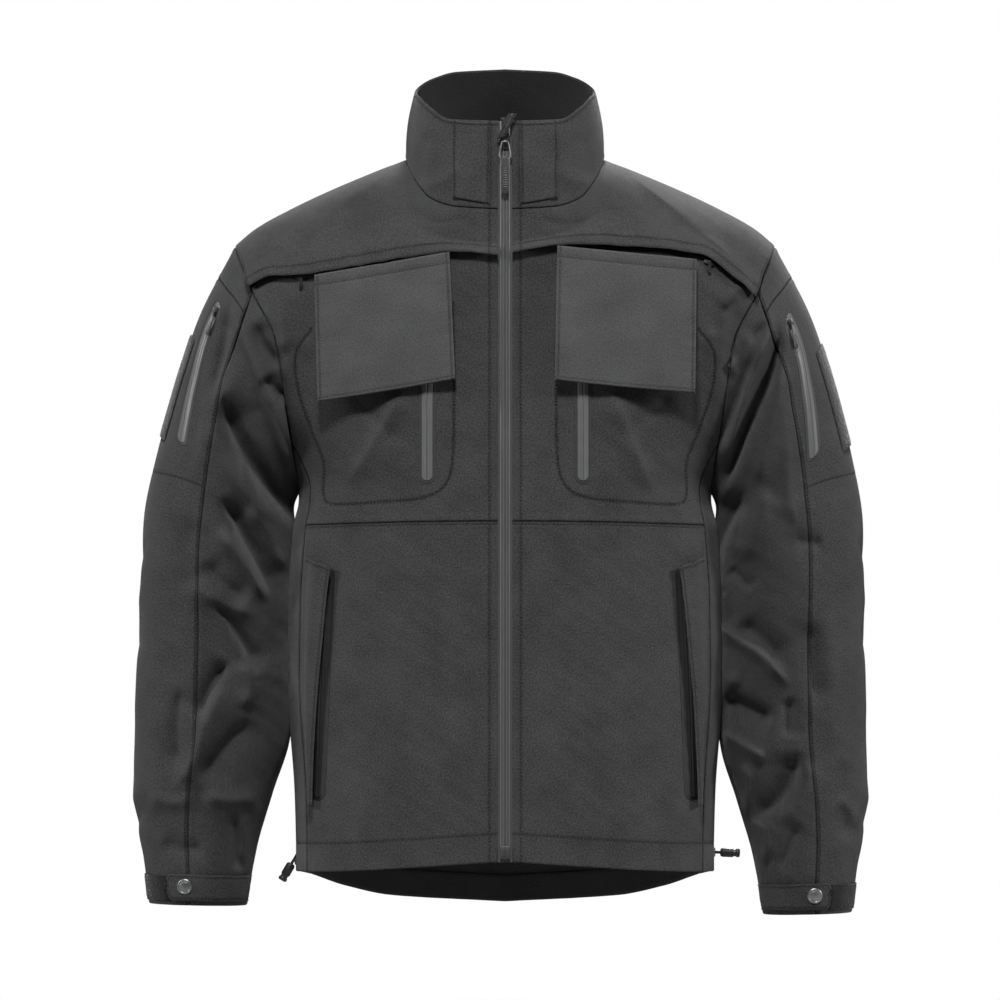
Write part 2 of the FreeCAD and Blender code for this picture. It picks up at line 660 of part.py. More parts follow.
def build_main_slider(jacket, front, tape_y, coil_y):
    top = -14
    outline = slider_outline("slider_width", "slider_length")
    face = jacket.padded("main_slider_face", outline, "slider_plate", front * at(0, tape_y - 0.3, top),
                         kept=False)
    rear_y = coil_y + DIM["coil_thickness"] + 0.3 + DIM["slider_plate"]
    rear = jacket.padded("main_slider_rear", outline, "slider_plate", front * at(0, rear_y, top), kept=False)
    bridge_y = tape_y - 0.3 - DIM["slider_plate"] - DIM["bail_height"]
    bridge = jacket.primitive("Part::Box", "main_slider_bridge", front * at(-1.5, bridge_y, top - 9),
                              Length=3, Width="bail_height", Height=5)
    jacket.join("main_slider", [face, rear, bridge], fused=False)
    pin_y = bridge_y - 0.4 - DIM["wire"] / 2
    pivot = front * at(0, pin_y, top - 6.5)
    wires = []
    corners = [(-3, 0), (3, 0), (6, -17), (-6, -17)]
    for i, (x, z) in enumerate(corners):
        to_x, to_z = corners[(i + 1) % 4]
        direction = V(to_x - x, 0, to_z - z)
        place = FreeCAD.Placement(V(x, 0, z), FreeCAD.Rotation(V(0, 0, 1), direction))
        wires.append(jacket.primitive("Part::Cylinder", f"main_pull_wire_{i}", place,
                                      Radius="wire/2", Height=direction.Length, Angle=360))
        wires.append(jacket.primitive("Part::Sphere", f"main_pull_bend_{i}", at(x, 0, z), Radius="wire/2"))
    corners = [("-pull_width*0.3", -15), ("pull_width*0.3", -15), ("pull_width/2", -24),
               ("pull_width*0.45", "-pull_length+3"), ("pull_width*0.25", "-pull_length"),
               ("-pull_width*0.25", "-pull_length"), ("-pull_width*0.45", "-pull_length+3"),
               ("-pull_width/2", -24)]
    tab = jacket.padded("main_pull_tab", corners, "pull_thickness", at(0, DIM["pull_thickness"] / 2, 0),
                        kept=False)
    jacket.join("main_pull", wires + [tab], pivot)
    jacket.axes["main_zip_slide"] = (pivot.Base, front.Rotation.multVec(V(0, 0, -1)))
    jacket.axes["main_pull_swing"] = (pivot.Base, V(-1, 0, 0))


# ---------------------------------------------------------------- pocket zips

def pocket_zip(jacket, name, frame, length, pull_hinged, slider_drop=4):
    """A laminated pocket zip lying on the cloth: tape, slider and pull. The frame is at its top."""
    tape_y = -0.3 - DIM["tape_thickness"]
    corner = at(-DIM["pocket_tape_width"] / 2, tape_y, -DIM[length])
    tape = jacket.primitive("Part::Box", f"{name}_tape", frame * corner,
                            Length="pocket_tape_width", Width="tape_thickness", Height=length)
    face_y = tape_y - 0.3
    outline = slider_outline("pocket_slider_width", "pocket_slider_length")
    face = jacket.padded(f"{name}_slider_face", outline, "slider_plate", frame * at(0, face_y, -slider_drop),
                         kept=False)
    pull_y = face_y - DIM["slider_plate"] - 0.5
    pull_top = -slider_drop - 6
    pull_frame = frame * at(0, pull_y, pull_top)
    corners = [("-pocket_pull_width*0.3", 0.4), ("pocket_pull_width*0.3", 0.4),
               ("pocket_pull_width/2", "-pocket_pull_length+2"),
               ("pocket_pull_width*0.3", "-pocket_pull_length"),
               ("-pocket_pull_width*0.3", "-pocket_pull_length"),
               ("-pocket_pull_width/2", "-pocket_pull_length+2")]
    pull = jacket.padded(f"{name}_pull_strip", corners, "pocket_pull_thickness", pull_frame, kept=False)
    jacket.axes[f"{name}_slide"] = (pull_frame.Base, frame.Rotation.multVec(V(0, 0, -1)))
    if pull_hinged:
        jacket.join(f"{name}_slider", [face], fused=False)
        jacket.join(f"{name}_pull", [pull], fused=False)
        hinge = frame * at(0, pull_y - DIM["pocket_pull_thickness"] / 2, pull_top)
        jacket.axes[f"{name}_pull_swing"] = (hinge.Base, frame.Rotation.multVec(V(-1, 0, 0)))
    else:
        jacket.join(f"{name}_slider", [face, pull], fused=False)
    return tape


def resting_frame(surface_point, top, bottom, facing):
    """A straight frame that clears a curved surface: moved outwards until no point stands through it."""
    a, b = surface_point(top), surface_point(bottom)
    frame = frame_on(a, b, facing)
    inside = frame.inverse()
    highest = 0
    for k in range(21):
        for shift in (-5, 0, 5):
            t = k / 20
            place = [mix(p, q, t) for p, q in zip(top, bottom)]
            place[0] += shift
            highest = min(highest, inside.multVec(surface_point(place)).y)
    return frame * at(0, highest, 0)


# top and bottom of each sleeve zip, as a turn round the sleeve and a place along it
SLEEVE_ZIP = {"right": ((35, 0.62), (46, 3.42)), "left": ((44, 0.65), (63, 3.45))}


def build_pocket_zips(jacket):
    tapes = {"chest": [], "hand": [], "sleeve": [], "yoke": []}
    for name, side in SIDES:
        def on_torso(place, s=side):
            return torso_point(s * place[0], place[1])

        drop = DIM["chest_zip_length"]
        frame = resting_frame(on_torso, (77, -112), (77, -112 - drop), V(0, -1, 0))
        tapes["chest"].append(pocket_zip(jacket, f"chest_zip_{name}", frame, "chest_zip_length", False))
        drop = DIM["hand_zip_length"]
        facing = V(side * 0.75, -0.66, 0)
        frame = resting_frame(on_torso, (176, -412), (186, -412 - drop), facing)
        tapes["hand"].append(pocket_zip(jacket, f"hand_zip_{name}", frame, "hand_zip_length", False))

        def on_sleeve(place, s=side):
            return sleeve_point(place[1], place[0], s)

        top, bottom = SLEEVE_ZIP[name]
        frame = resting_frame(on_sleeve, top, bottom, V(side * 0.55, -0.83, 0))
        tapes["sleeve"].append(pocket_zip(jacket, f"sleeve_zip_{name}", frame, "sleeve_zip_length", True))
        tapes["yoke"].append(yoke_zip(jacket, name, side))
    for kind in tapes:
        jacket.join(f"{kind}_zip_tapes", tapes[kind], fused=False)


def yoke_zip(jacket, name, side):
    """The panel pocket's zip: it runs along under the yoke's edge, its pull hanging at the outside."""
    outer, inner = 212, 212 - DIM["yoke_zip_length"]

    def strip(u, v):
        x = mix(outer, inner, u)
        return torso_point(side * x, yoke_edge(side, x) + mix(-5, 5, v))

    tape = jacket.doc.addObject("Part::Feature", f"yoke_tape_{name}")
    tape.Shape = cloth_solid(strip, -side, 8, 3, lift=0.5 + DIM["tape_thickness"],
                             thickness=DIM["tape_thickness"])
    top = strip(0.04, 0.5)
    end = strip(0.2, 0.5)
    frame = frame_on(top, end, outward(strip, 0.08, 0.5, -side)) * at(0, -0.8, 0)
    outline = slider_outline("pocket_slider_width", "pocket_slider_length")
    face = jacket.padded(f"yoke_slider_face_{name}", outline, "slider_plate", frame * at(0, -1.1, 0),
                         kept=False)
    hang = FreeCAD.Placement((frame * at(0, -2.8, -5)).Base, FreeCAD.Rotation())
    corners = [(-1.5, 1), (1.5, 1), (2, -12), (1, -14), (-1, -14), (-2, -12)]
    pull = jacket.padded(f"yoke_pull_strip_{name}", corners, "pocket_pull_thickness", hang, kept=False)
    jacket.join(f"yoke_zip_{name}_slider", [face, pull], fused=False)
    jacket.axes[f"yoke_zip_{name}_slide"] = (hang.Base, frame.Rotation.multVec(V(0, 0, -1)))
    return tape


def build_welts(jacket):
    """The strip of cloth that hides each hand pocket's zip, wide at its top and closing at its bottom."""
    welts = []
    for name, side in SIDES:
        def welt(u, v, s=side):
            z = mix(-402, -648, v)
            outer_x = seam_half_width(z, SIDE_SEAM) - 3
            width = mix(26, 9, v)
            return torso_point(s * (outer_x - width * (1 - u)), z - 10 * (1 - u) * (1 - v))
        welts.append(cloth_solid(welt, -side, 4, 8, lift=lambda u, v: 2.0 + 5.8 * ease((1 - u) * 1.8),
                                 thickness=1.2))
    jacket.feature("hand_pocket_welts", welts)


# ---------------------------------------------------------------- panels, cuffs, cord locks

def build_id_panels(jacket):
    """The two pull-out panels, each turning about the line where it comes from under the yoke."""
    for name, side in SIDES:
        (outer, outer_z), (inner, inner_z) = ID_PANEL[name]
        drop, rise = DIM["id_panel_drop"], DIM["id_panel_stand"]
        a, b = torso_point(side * outer, outer_z), torso_point(side * inner, inner_z)
        low = torso_point(side * (outer + inner) / 2, (outer_z + inner_z) / 2 - drop)
        across = (a - b).normalize() if side < 0 else (b - a).normalize()
        middle = (a + b) * 0.5
        out = (low - middle).cross(across).normalize()
        out = out if out.y < 0 else out * -1
        frame = FreeCAD.Placement(middle, FreeCAD.Rotation(across * -1, out * -1, V(0, 0, 1), "YXZ"))
        inside = frame.inverse()
        stands = []
        for u, v in [(u / 6, v / 6) for u in range(7) for v in range(7)]:
            behind = torso_point(side * mix(inner, outer, u), mix(inner_z, outer_z, u) - drop * v)
            stands.append(inside.multVec(behind).y)
        frame = frame * at(0, min(stands) - rise, 0)
        inside = frame.inverse()
        corners = []
        foot = ((outer, outer_z - drop), (inner, inner_z - drop + 3))
        for x, z in ((inner, inner_z), (outer, outer_z), *foot):
            flat = inside.multVec(V(side * x, a.y, z))
            corners.append((flat.x, flat.z))
        jacket.padded(f"id_panel_{name}", corners, "id_panel_thickness", frame)
        hinge = frame * at(0, -DIM["id_panel_thickness"], max(z for _, z in corners[:2]))
        jacket.axes[f"id_panel_{name}_lift"] = (hinge.Base, across if across.x < 0 else across * -1)


# the turn round the wrist at which each cuff tab's free end lies
TAB_END = {"right": 57, "left": 64}

# where each loop field begins along the sleeve, and how far round to the front it reaches
LOOP_FIELD = {"right": (1.45, 26), "left": (1.62, 32)}


def build_sleeve_patches(jacket):
    """Loop-faced fields on the outside of each upper arm, and the cuff's loop strips."""
    patches, strips = [], []
    for name, side in SIDES:
        start, front_edge = LOOP_FIELD[name]

        def patch(u, v, s=side):
            return sleeve_point(mix(start, start + 2.15, v), mix(-40, front_edge, u), s)

        def strip(u, v, s=side):
            return sleeve_point(mix(LAST - 1.15, LAST - 0.15, v), mix(-30, TAB_END[name] + 2, u), s)
        patches.append(cloth_solid(patch, side, 5, 6, lift=1.9, thickness=1.5))
        strips.append(cloth_solid(strip, side, 10, 4, lift=1.7, thickness=1.2))
    jacket.feature("sleeve_loop_patches", patches)
    jacket.feature("cuff_loop_strips", strips)


def build_cuffs(jacket):
    """Cuff tabs, sewn at the inner side of the wrist, with a snap cap over a stud on the sleeve."""
    studs = []
    for name, side in SIDES:
        free_end = TAB_END[name]

        def tab(u, v, s=side):
            return sleeve_point(mix(LAST - 1.25, LAST - 0.2, v), mix(free_end, 158, u), s)
        jacket.feature(f"cuff_tab_{name}", [cloth_solid(tab, side, 14, 3, lift=2.8 + DIM["cuff_tab_cloth"],
                                                        thickness=DIM["cuff_tab_cloth"])])
        u, v = 0.2, 0.5
        point, normal = tab(u, v), outward(tab, u, v, side)
        turn = FreeCAD.Rotation(V(0, -1, 0), normal)
        cap = [(0, 0), ("snap_cap_radius", 0), ("snap_cap_radius", -0.7),
               ("snap_cap_radius*0.8", "-snap_cap_height*0.85"), (0, "-snap_cap_height")]
        on_tab = point + normal * (2.9 + DIM["cuff_tab_cloth"])
        jacket.turned(f"snap_cap_{name}", cap, FreeCAD.Placement(on_tab, turn))
        stud = [(0, 0), ("snap_stud_radius", 0), ("snap_stud_radius", -0.5), ("snap_stud_radius*0.5", -0.6),
                ("snap_stud_radius*0.5", "-snap_stud_height"), (0, "-snap_stud_height")]
        on_sleeve = FreeCAD.Placement(point + normal * 0.2, turn)
        studs.append(jacket.turned(f"snap_stud_{name}", stud, on_sleeve, kept=False))
        root = tab(1, 0.5)
        away = outward(tab, 1, 0.5, side)
        jacket.axes[f"cuff_tab_{name}_open"] = (root + away * 3.7, V(0, 0, -side))
    jacket.join("snap_studs", studs, fused=False)


def build_cord_locks(jacket):
    """A barrel lock on the end of the hem drawcord at each side, with its eyelet in the hem."""
    eyelets, cords = [], []
    for name, side in SIDES:
        anchor = ring_point(88, -705 if side < 0 else -697, side)
        drop = V(side * 0.5, -0.12, -0.86) if side < 0 else V(side * 0.99, -0.12, -0.03)
        drop = drop.normalize()
        turn = FreeCAD.Rotation(V(0, -1, 0), drop)
        sideways = FreeCAD.Rotation(V(0, -1, 0), V(side, 0, 0))
        eyelets.append(jacket.turned(f"eyelet_{name}", [(2, 0), (4.6, 0), (4.6, -0.5), (3.6, -1), (2, -1)],
                                     FreeCAD.Placement(anchor + V(side * 0.2, 0, 0), sideways), kept=False))
        start = anchor + V(side * 2.4, 0, 0)
        cords.append(jacket.turned(f"cord_end_{name}", [(0, 0), ("cord_radius", 0), ("cord_radius", -3.5),
                                                        (0, -3.5)],
                                   FreeCAD.Placement(start, turn), kept=False))
        body = start + drop * 3.9
        jacket.turned(f"cord_lock_{name}", [(0, 0), ("lock_radius*0.75", 0), ("lock_radius", -2.5),
                                            ("lock_radius", "-lock_length"),
                                            ("button_radius+0.35", "-lock_length"),
                                            ("button_radius+0.35", -5), (0, -5)],
                      FreeCAD.Placement(body, turn))
        end = body + drop * 8
        jacket.turned(f"cord_lock_button_{name}", [(0, 0), ("button_radius", 0), ("button_radius", -7.5),
                                                   ("lock_radius*0.95", -8.2), ("lock_radius*0.95", -10.5),
                                                   ("button_radius", -11.5), (0, -11.5)],
                      FreeCAD.Placement(end, turn))
        jacket.axes[f"cord_lock_{name}_slide"] = (body, drop)
        jacket.axes[f"cord_lock_button_{name}_press"] = (end, drop * -1)
    jacket.join("hem_eyelets", eyelets, fused=False)
    jacket.join("drawcord_ends", cords, fused=False)


def build_hang_loop(jacket):
    """A strap sewn at both ends to the inside of the back neck seam."""
    half, deep, thick = DIM["loop_span"] / 2, DIM["loop_depth"], DIM["loop_thickness"]
    corners = [(-half, 0), (-half + 10, 0), (-half + 10, -deep * 0.1), (-half + 16, -deep),
               (half - 16, -deep), (half - 10, -deep * 0.1), (half - 10, 0), (half, 0), (half, -thick),
               (half - 8, -thick), (half - 14, -deep - thick), (-half + 14, -deep - thick),
               (-half + 8, -thick), (-half, -thick)]
    ends_y = MID_Y + 50.5
    place = at(0, ends_y, -DIM["loop_width"] / 2)
    jacket.padded("hang_loop", corners, "loop_width", place, plane="XY_Plane")


def build_linings(jacket):
    """Mesh pocket bags behind the chest and the hand pockets, and the facing inside the hem."""
    bags = []
    for name, side in SIDES:
        def chest_bag(u, v, s=side):
            return torso_point(s * mix(54, 184, u), mix(-345, -150, v))

        def hand_bag(u, v, s=side):
            return torso_point(s * mix(42, 172, u), mix(-676, -440, v))
        for bag in (chest_bag, hand_bag):
            bags.append(cloth_solid(bag, side, 6, 6, lift=-DIM["cloth"] - 1.6, thickness=1.0))
    jacket.feature("pocket_bags", bags)

    def facing(u, v):
        degrees = mix(12, 348, u)
        turn = degrees if degrees < 180 else 360 - degrees
        return ring_point(turn, hem_z(turn) + mix(1, 27, v), 1 if degrees < 180 else -1)
    jacket.feature("hem_facing", [cloth_solid(facing, 1, 36, 3, lift=-DIM["cloth"] - 0.4, thickness=0.8)])


# ---------------------------------------------------------------- run

def write_parts(jacket):
    jacket.doc.recompute()
    for item in jacket.doc.Objects:
        if any(word in state for state in item.State for word in ("Invalid", "Error")):
            raise RuntimeError(f"{item.Label}: {item.State}")
    os.makedirs("parts", exist_ok=True)
    for item in jacket.nodes:
        shape = item.Shape
        if shape.isNull() or not shape.isValid() or not shape.Solids:
            raise RuntimeError(f"{item.Label}: no valid solid")
        shape.exportStep(f"parts/{item.Label}.step")
    print(len(jacket.nodes), "nodes")


def main():
    jacket = Jacket()
    build_torso(jacket)
    build_sleeves(jacket)
    build_collar(jacket)
    build_main_zip(jacket)
    build_pocket_zips(jacket)
    build_welts(jacket)
    build_id_panels(jacket)
    build_sleeve_patches(jacket)
    build_cuffs(jacket)
    build_cord_locks(jacket)
    build_hang_loop(jacket)
    build_linings(jacket)
    write_parts(jacket)


if __name__ == "__main__":
    main()
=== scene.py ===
"""The looks of the hardshell jacket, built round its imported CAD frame.

Lengths in this script are millimetres in the frame's own axes: +X the wearer's left, +Y the wearer's back,
+Z up, the origin at the hang loop. They become metres when a mesh is made. Names say right and left as the
wearer does, so right is -X.

The cloth follows the same torso, collar and sleeve surfaces as the CAD panels. Folds are laid over those
surfaces as soft ridges and valleys, and everything that lies on the cloth is laid over the same folds.
"""
import json
import math

import bpy
import numpy as np
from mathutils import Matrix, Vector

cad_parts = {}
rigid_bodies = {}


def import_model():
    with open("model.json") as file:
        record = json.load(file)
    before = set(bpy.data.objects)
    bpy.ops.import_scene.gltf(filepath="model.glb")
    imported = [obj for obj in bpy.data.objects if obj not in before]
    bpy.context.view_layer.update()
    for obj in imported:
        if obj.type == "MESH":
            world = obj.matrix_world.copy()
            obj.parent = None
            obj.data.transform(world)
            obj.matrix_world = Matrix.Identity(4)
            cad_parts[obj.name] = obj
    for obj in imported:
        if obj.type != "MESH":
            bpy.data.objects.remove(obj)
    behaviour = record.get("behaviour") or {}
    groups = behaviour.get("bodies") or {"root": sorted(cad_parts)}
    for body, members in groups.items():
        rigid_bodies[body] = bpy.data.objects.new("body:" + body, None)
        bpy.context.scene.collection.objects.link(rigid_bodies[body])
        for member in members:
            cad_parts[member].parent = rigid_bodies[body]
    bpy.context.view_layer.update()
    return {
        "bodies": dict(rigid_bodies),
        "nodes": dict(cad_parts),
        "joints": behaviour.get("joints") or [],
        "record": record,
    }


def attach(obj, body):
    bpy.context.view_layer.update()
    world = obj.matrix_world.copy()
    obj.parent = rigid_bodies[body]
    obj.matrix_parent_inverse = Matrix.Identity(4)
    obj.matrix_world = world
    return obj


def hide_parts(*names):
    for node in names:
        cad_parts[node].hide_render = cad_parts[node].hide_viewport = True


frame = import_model()

MM = 0.001
SIDES = (("right", -1), ("left", 1))
BODY = "jacket"
rng = np.random.default_rng(7)

# ---------------------------------------------------------------- curves and surfaces of the jacket

MID_Y = -46
SLEEVE_Y = MID_Y + 6
FRONT_TOP_Z, FRONT_HEM_Z = 30, -702
FRONT_TOP_DEPTH, FRONT_HEM_DEPTH = 105, 145
ROUNDNESS = 2.4
PIT_Z, TIP_Z, TIP_X = -335, -92, 270
CHEST, HEM = 206, 209
NECK_HALF, RIM_HALF, RIM_BACK_RISE = 99, 90, 58
CLOTH = 1.4
YOKE_FLARE = 8
FRONT_EDGE_X = 7
SIDE_SEAM, BACK_SEAM = 65, 116
BACK_YOKE_Z, WAIST_Z = -190, -366

HALF_WIDTH = [(-780, HEM), (-700, HEM), (-540, HEM + 4), (-445, HEM + 3), (PIT_Z, CHEST),
              (-300, CHEST + 13), (-250, CHEST + 51), (-200, CHEST + 87), (-150, CHEST + 116),
              (-100, CHEST + 129)]
BACK_DEPTH = [(-780, 142), (-600, 136), (-450, 138), (PIT_Z, 146), (-200, 140), (-100, 120),
              (-50, 98), (0, 69), (100, 45)]
RIDGE = [(0, 60), (60, 26), (85, 4), (97, -4), (125, -15), (175, -36), (213, -54), (249, -74),
         (TIP_X, TIP_Z), (300, TIP_Z - 34)]
SHOULDER_ROLL = [(0, 110), (100, 105), (TIP_X, 88)]
ARMHOLE = [(PIT_Z, CHEST - 1), (-250, 218), (-185, 228), (-140, 250), (TIP_Z, TIP_X)]
HEM_DROP = [(0, 0), (65, 12), (100, 15), (118, 20), (135, 33), (150, 43), (180, 50)]
RIM_RISE = [(0, 0), (33, 0.04), (48, 0.26), (62, 0.46), (85, 0.57), (105, 0.65), (131, 0.84), (148, 0.95),
            (180, 1)]
NECK_FRONT = [(0, -58), (49, -55), (73, -47), (90, -27), (97, -12), (NECK_HALF, -5)]
NECK_BACK = [(0, 0), (60, -1), (85, -3), (NECK_HALF, -5)]
YOKE_EDGE = {-1: [(0, -104), (50, -100), (97, -106), (170, -119), (205, -124), (228, -125), (270, -149)],
             1: [(0, -102), (60, -93), (108, -95), (191, -104), (224, -127), (250, -150), (270, -164)]}
ID_PANEL = {-1: ((188, -128), (54, -106)), 1: ((192, -113), (52, -101))}
ID_DROP, ID_STAND, ID_THICK = 124, 5, 1.3

# the right sleeve's sections: outer x, z, inner x, z, half depth
SECTIONS = np.array([
    (-TIP_X, TIP_Z, -CHEST + 1, PIT_Z, 90),
    (-303, -155, -211, -350, 84),
    (-322, -208, -213, -362, 76),
    (-336, -255, -214, -380, 72),
    (-348, -300, -215, -404, 69),
    (-359, -352, -215, -437, 68),
    (-362, -400, -216, -472, 67),
    (-363, -450, -216, -507, 66),
    (-366, -510, -216, -547, 64),
    (-368, -570, -219, -592, 63),
    (-369, -630, -232, -637, 60),
    (-364, -675, -245, -680, 57),
    (-359, -700, -251, -707, 54),
    (-356, -722, -254, -724, 52),
    (-353, -748, -258, -750, 49),
], float)
LAST = len(SECTIONS) - 1
SLEEVE_SEAM = [(0, 52), (1, 66), (3, 73), (5, 77), (9, 80), (LAST, 82)]
SLEEVE_REACH = {-1: 3, 1: -6}
SLEEVE_EXTRA = {-1: 0, 1: 9}


def cubic_weights(t):
    """Shares of the start, its slope, the end and its slope on a smooth cubic, t running from 0 to 1."""
    return 2 * t ** 3 - 3 * t ** 2 + 1, t ** 3 - 2 * t ** 2 + t, 3 * t ** 2 - 2 * t ** 3, t ** 3 - t ** 2


def between(at, places, points):
    """Rows of points read at other places along their line."""
    return np.stack([np.interp(at, places, column) for column in points.T], axis=1)


def along(stations, at):
    """Smooth curve through (place, value) stations that never overshoots; flat beyond both ends."""
    xs, ys = np.array(stations, float).T
    steps = np.diff(ys) / np.diff(xs)
    product, total = steps[:-1] * steps[1:], steps[:-1] + steps[1:]
    inner = np.where(product > 0, 2 * product / np.where(total == 0, 1, total), 0)
    slopes = np.concatenate([steps[:1], inner, steps[-1:]])
    at = np.clip(at, xs[0], xs[-1])
    k = np.clip(np.searchsorted(xs, at, side="right") - 1, 0, len(steps) - 1)
    span = xs[k + 1] - xs[k]
    start, leave, end, arrive = cubic_weights((at - xs[k]) / span)
    return start * ys[k] + leave * span * slopes[k] + end * ys[k + 1] + arrive * span * slopes[k + 1]


def mix(a, b, t):
    return a + (b - a) * t


def ease(t):
    t = np.clip(t, 0, 1)
    return t * t * (3 - 2 * t)


def xyz(x, y, z):
    """One array of points from three arrays of coordinates."""
    return np.stack(np.broadcast_arrays(x, y, z), axis=-1).astype(float)


def sin_d(degrees):
    return np.sin(np.radians(degrees))


def cos_d(degrees):
    return np.cos(np.radians(degrees))


def round_factor(sine, cosine, power):
    return (np.abs(sine) ** power + np.abs(cosine) ** power) ** (-1 / power)


def front_depth(z):
    return mix(FRONT_TOP_DEPTH, FRONT_HEM_DEPTH, (FRONT_TOP_Z - z) / (FRONT_TOP_Z - FRONT_HEM_Z))


def torso_point(x, z, back=False):
    """Points of the torso's front or back at given widths and heights."""
    across = (1 - np.minimum(1, np.abs(x) / along(HALF_WIDTH, z)) ** ROUNDNESS) ** (1 / ROUNDNESS)
    below = np.maximum(0, along(RIDGE, np.abs(x)) - z) / along(SHOULDER_ROLL, np.abs(x))
    roll = np.sqrt(np.maximum(0, 1 - (1 - np.minimum(1, below)) ** 2))
    depth = np.where(back, along(BACK_DEPTH, z), -front_depth(z))
    return xyz(x, MID_Y + depth * across * roll, z)


def ring_point(degrees, z, side=1):
    """Points of the torso at a ring angle: 0 is the front edge, 90 the side, 180 the middle back."""
    sine, cosine = sin_d(degrees), cos_d(degrees)
    factor = round_factor(sine, cosine, ROUNDNESS)
    depth = np.where(cosine > 0, front_depth(z), along(BACK_DEPTH, z))
    return xyz(side * along(HALF_WIDTH, z) * factor * sine, MID_Y - depth * factor * cosine, z)


def hem_z(degrees):
    return FRONT_HEM_Z - along(HEM_DROP, degrees)


def ring_width(z, degrees):
    return along(HALF_WIDTH, z) * round_factor(sin_d(degrees), cos_d(degrees), ROUNDNESS) * sin_d(degrees)


def seam_half_width(z, degrees):
    """Distance from the middle to a side seam, or to the armhole where that comes first."""
    ring = ring_width(z, degrees)
    return np.where(z <= PIT_Z, ring, np.minimum(ring, along(ARMHOLE, z)))


def armhole_z(degrees):
    """Heights at which side seams at these ring angles meet the armhole."""
    low, high = PIT_Z + 0 * degrees, PIT_Z + 85 + 0 * degrees
    for _ in range(30):
        middle = (low + high) / 2
        inside = ring_width(middle, degrees) < along(ARMHOLE, middle)
        low, high = np.where(inside, middle, low), np.where(inside, high, middle)
    return low


def collar_rim(degrees):
    turn = np.abs(degrees)
    sine, cosine = sin_d(turn), cos_d(turn)
    factor = round_factor(sine, cosine, np.where(cosine > 0, 3, 2.3))
    depth = np.where(cosine > 0, FRONT_TOP_DEPTH, 50)
    rise = RIM_BACK_RISE * along(RIM_RISE, turn)
    return xyz(np.copysign(RIM_HALF * factor * sine, degrees), MID_Y - depth * factor * cosine,
               FRONT_TOP_Z + rise)


def neck_seam(degrees):
    turn = np.abs(degrees)
    x = NECK_HALF * sin_d(turn)
    z = np.where(turn < 90, along(NECK_FRONT, x), along(NECK_BACK, x))
    return torso_point(np.copysign(x, degrees), z, back=turn >= 90)


def collar_point(degrees, rise):
    """Points of the collar: rise 0 is the neck seam, 1 the rim; its middle bows out a little."""
    degrees, rise = np.broadcast_arrays(np.asarray(degrees, float), np.asarray(rise, float))
    low = neck_seam(degrees)
    point = low + (collar_rim(degrees) - low) * rise[..., None]
    away = point * (1, 1, 0) - (0, MID_Y, 0)
    away /= np.linalg.norm(away, axis=-1, keepdims=True)
    return point + away * (3 * np.sin(np.pi * rise) * ease(np.abs(degrees) / 40))[..., None]


def section(number, turn, side):
    """Points of sleeve sections: turn 0 is outermost, 90 the front, 180 innermost, 270 the back."""
    ox, oz, ix, iz, half_depth = np.moveaxis(SECTIONS[number], -1, 0)
    down = ease((-oz - 200) / 400)
    cosine, sine = cos_d(turn), sin_d(turn)
    hole_z = mix(iz, oz, (1 + cosine) / 2)
    hole = torso_point(side * along(ARMHOLE, hole_z), hole_z, back=sine < 0)
    factor = round_factor(sine, cosine, 2.2)
    ox = ox - SLEEVE_REACH[side] * down
    swing = cosine * factor
    ring = xyz(-side * ((ox + ix) / 2 + (ox - ix) / 2 * swing), SLEEVE_Y - half_depth * sine * factor,
               (oz + iz) / 2 - SLEEVE_EXTRA[side] * down + (oz - iz) / 2 * swing)
    return np.where((number == 0)[..., None], hole, ring)


def sleeve_point(place, turn, side):
    """Points of a sleeve: place counts sections from the armhole, 0, to the cuff, LAST."""
    place, turn = np.broadcast_arrays(np.asarray(place, float), np.asarray(turn, float))
    k = np.clip(place.astype(int), 0, LAST - 1)
    t = (place - k)[..., None]
    a, b = section(k, turn, side), section(k + 1, turn, side)
    before, after = section(np.maximum(0, k - 1), turn, side), section(np.minimum(LAST, k + 2), turn, side)
    first = (b - before) * np.where(k > 0, 0.5, 1)[..., None]
    last = (after - a) * np.where(k + 2 <= LAST, 0.5, 1)[..., None]
    start, leave, end, arrive = cubic_weights(t)
    return a * start + first * leave + b * end + last * arrive


def yoke_edge(side, x):
    return along(YOKE_EDGE[side], np.abs(x))


# ---------------------------------------------------------------- folds

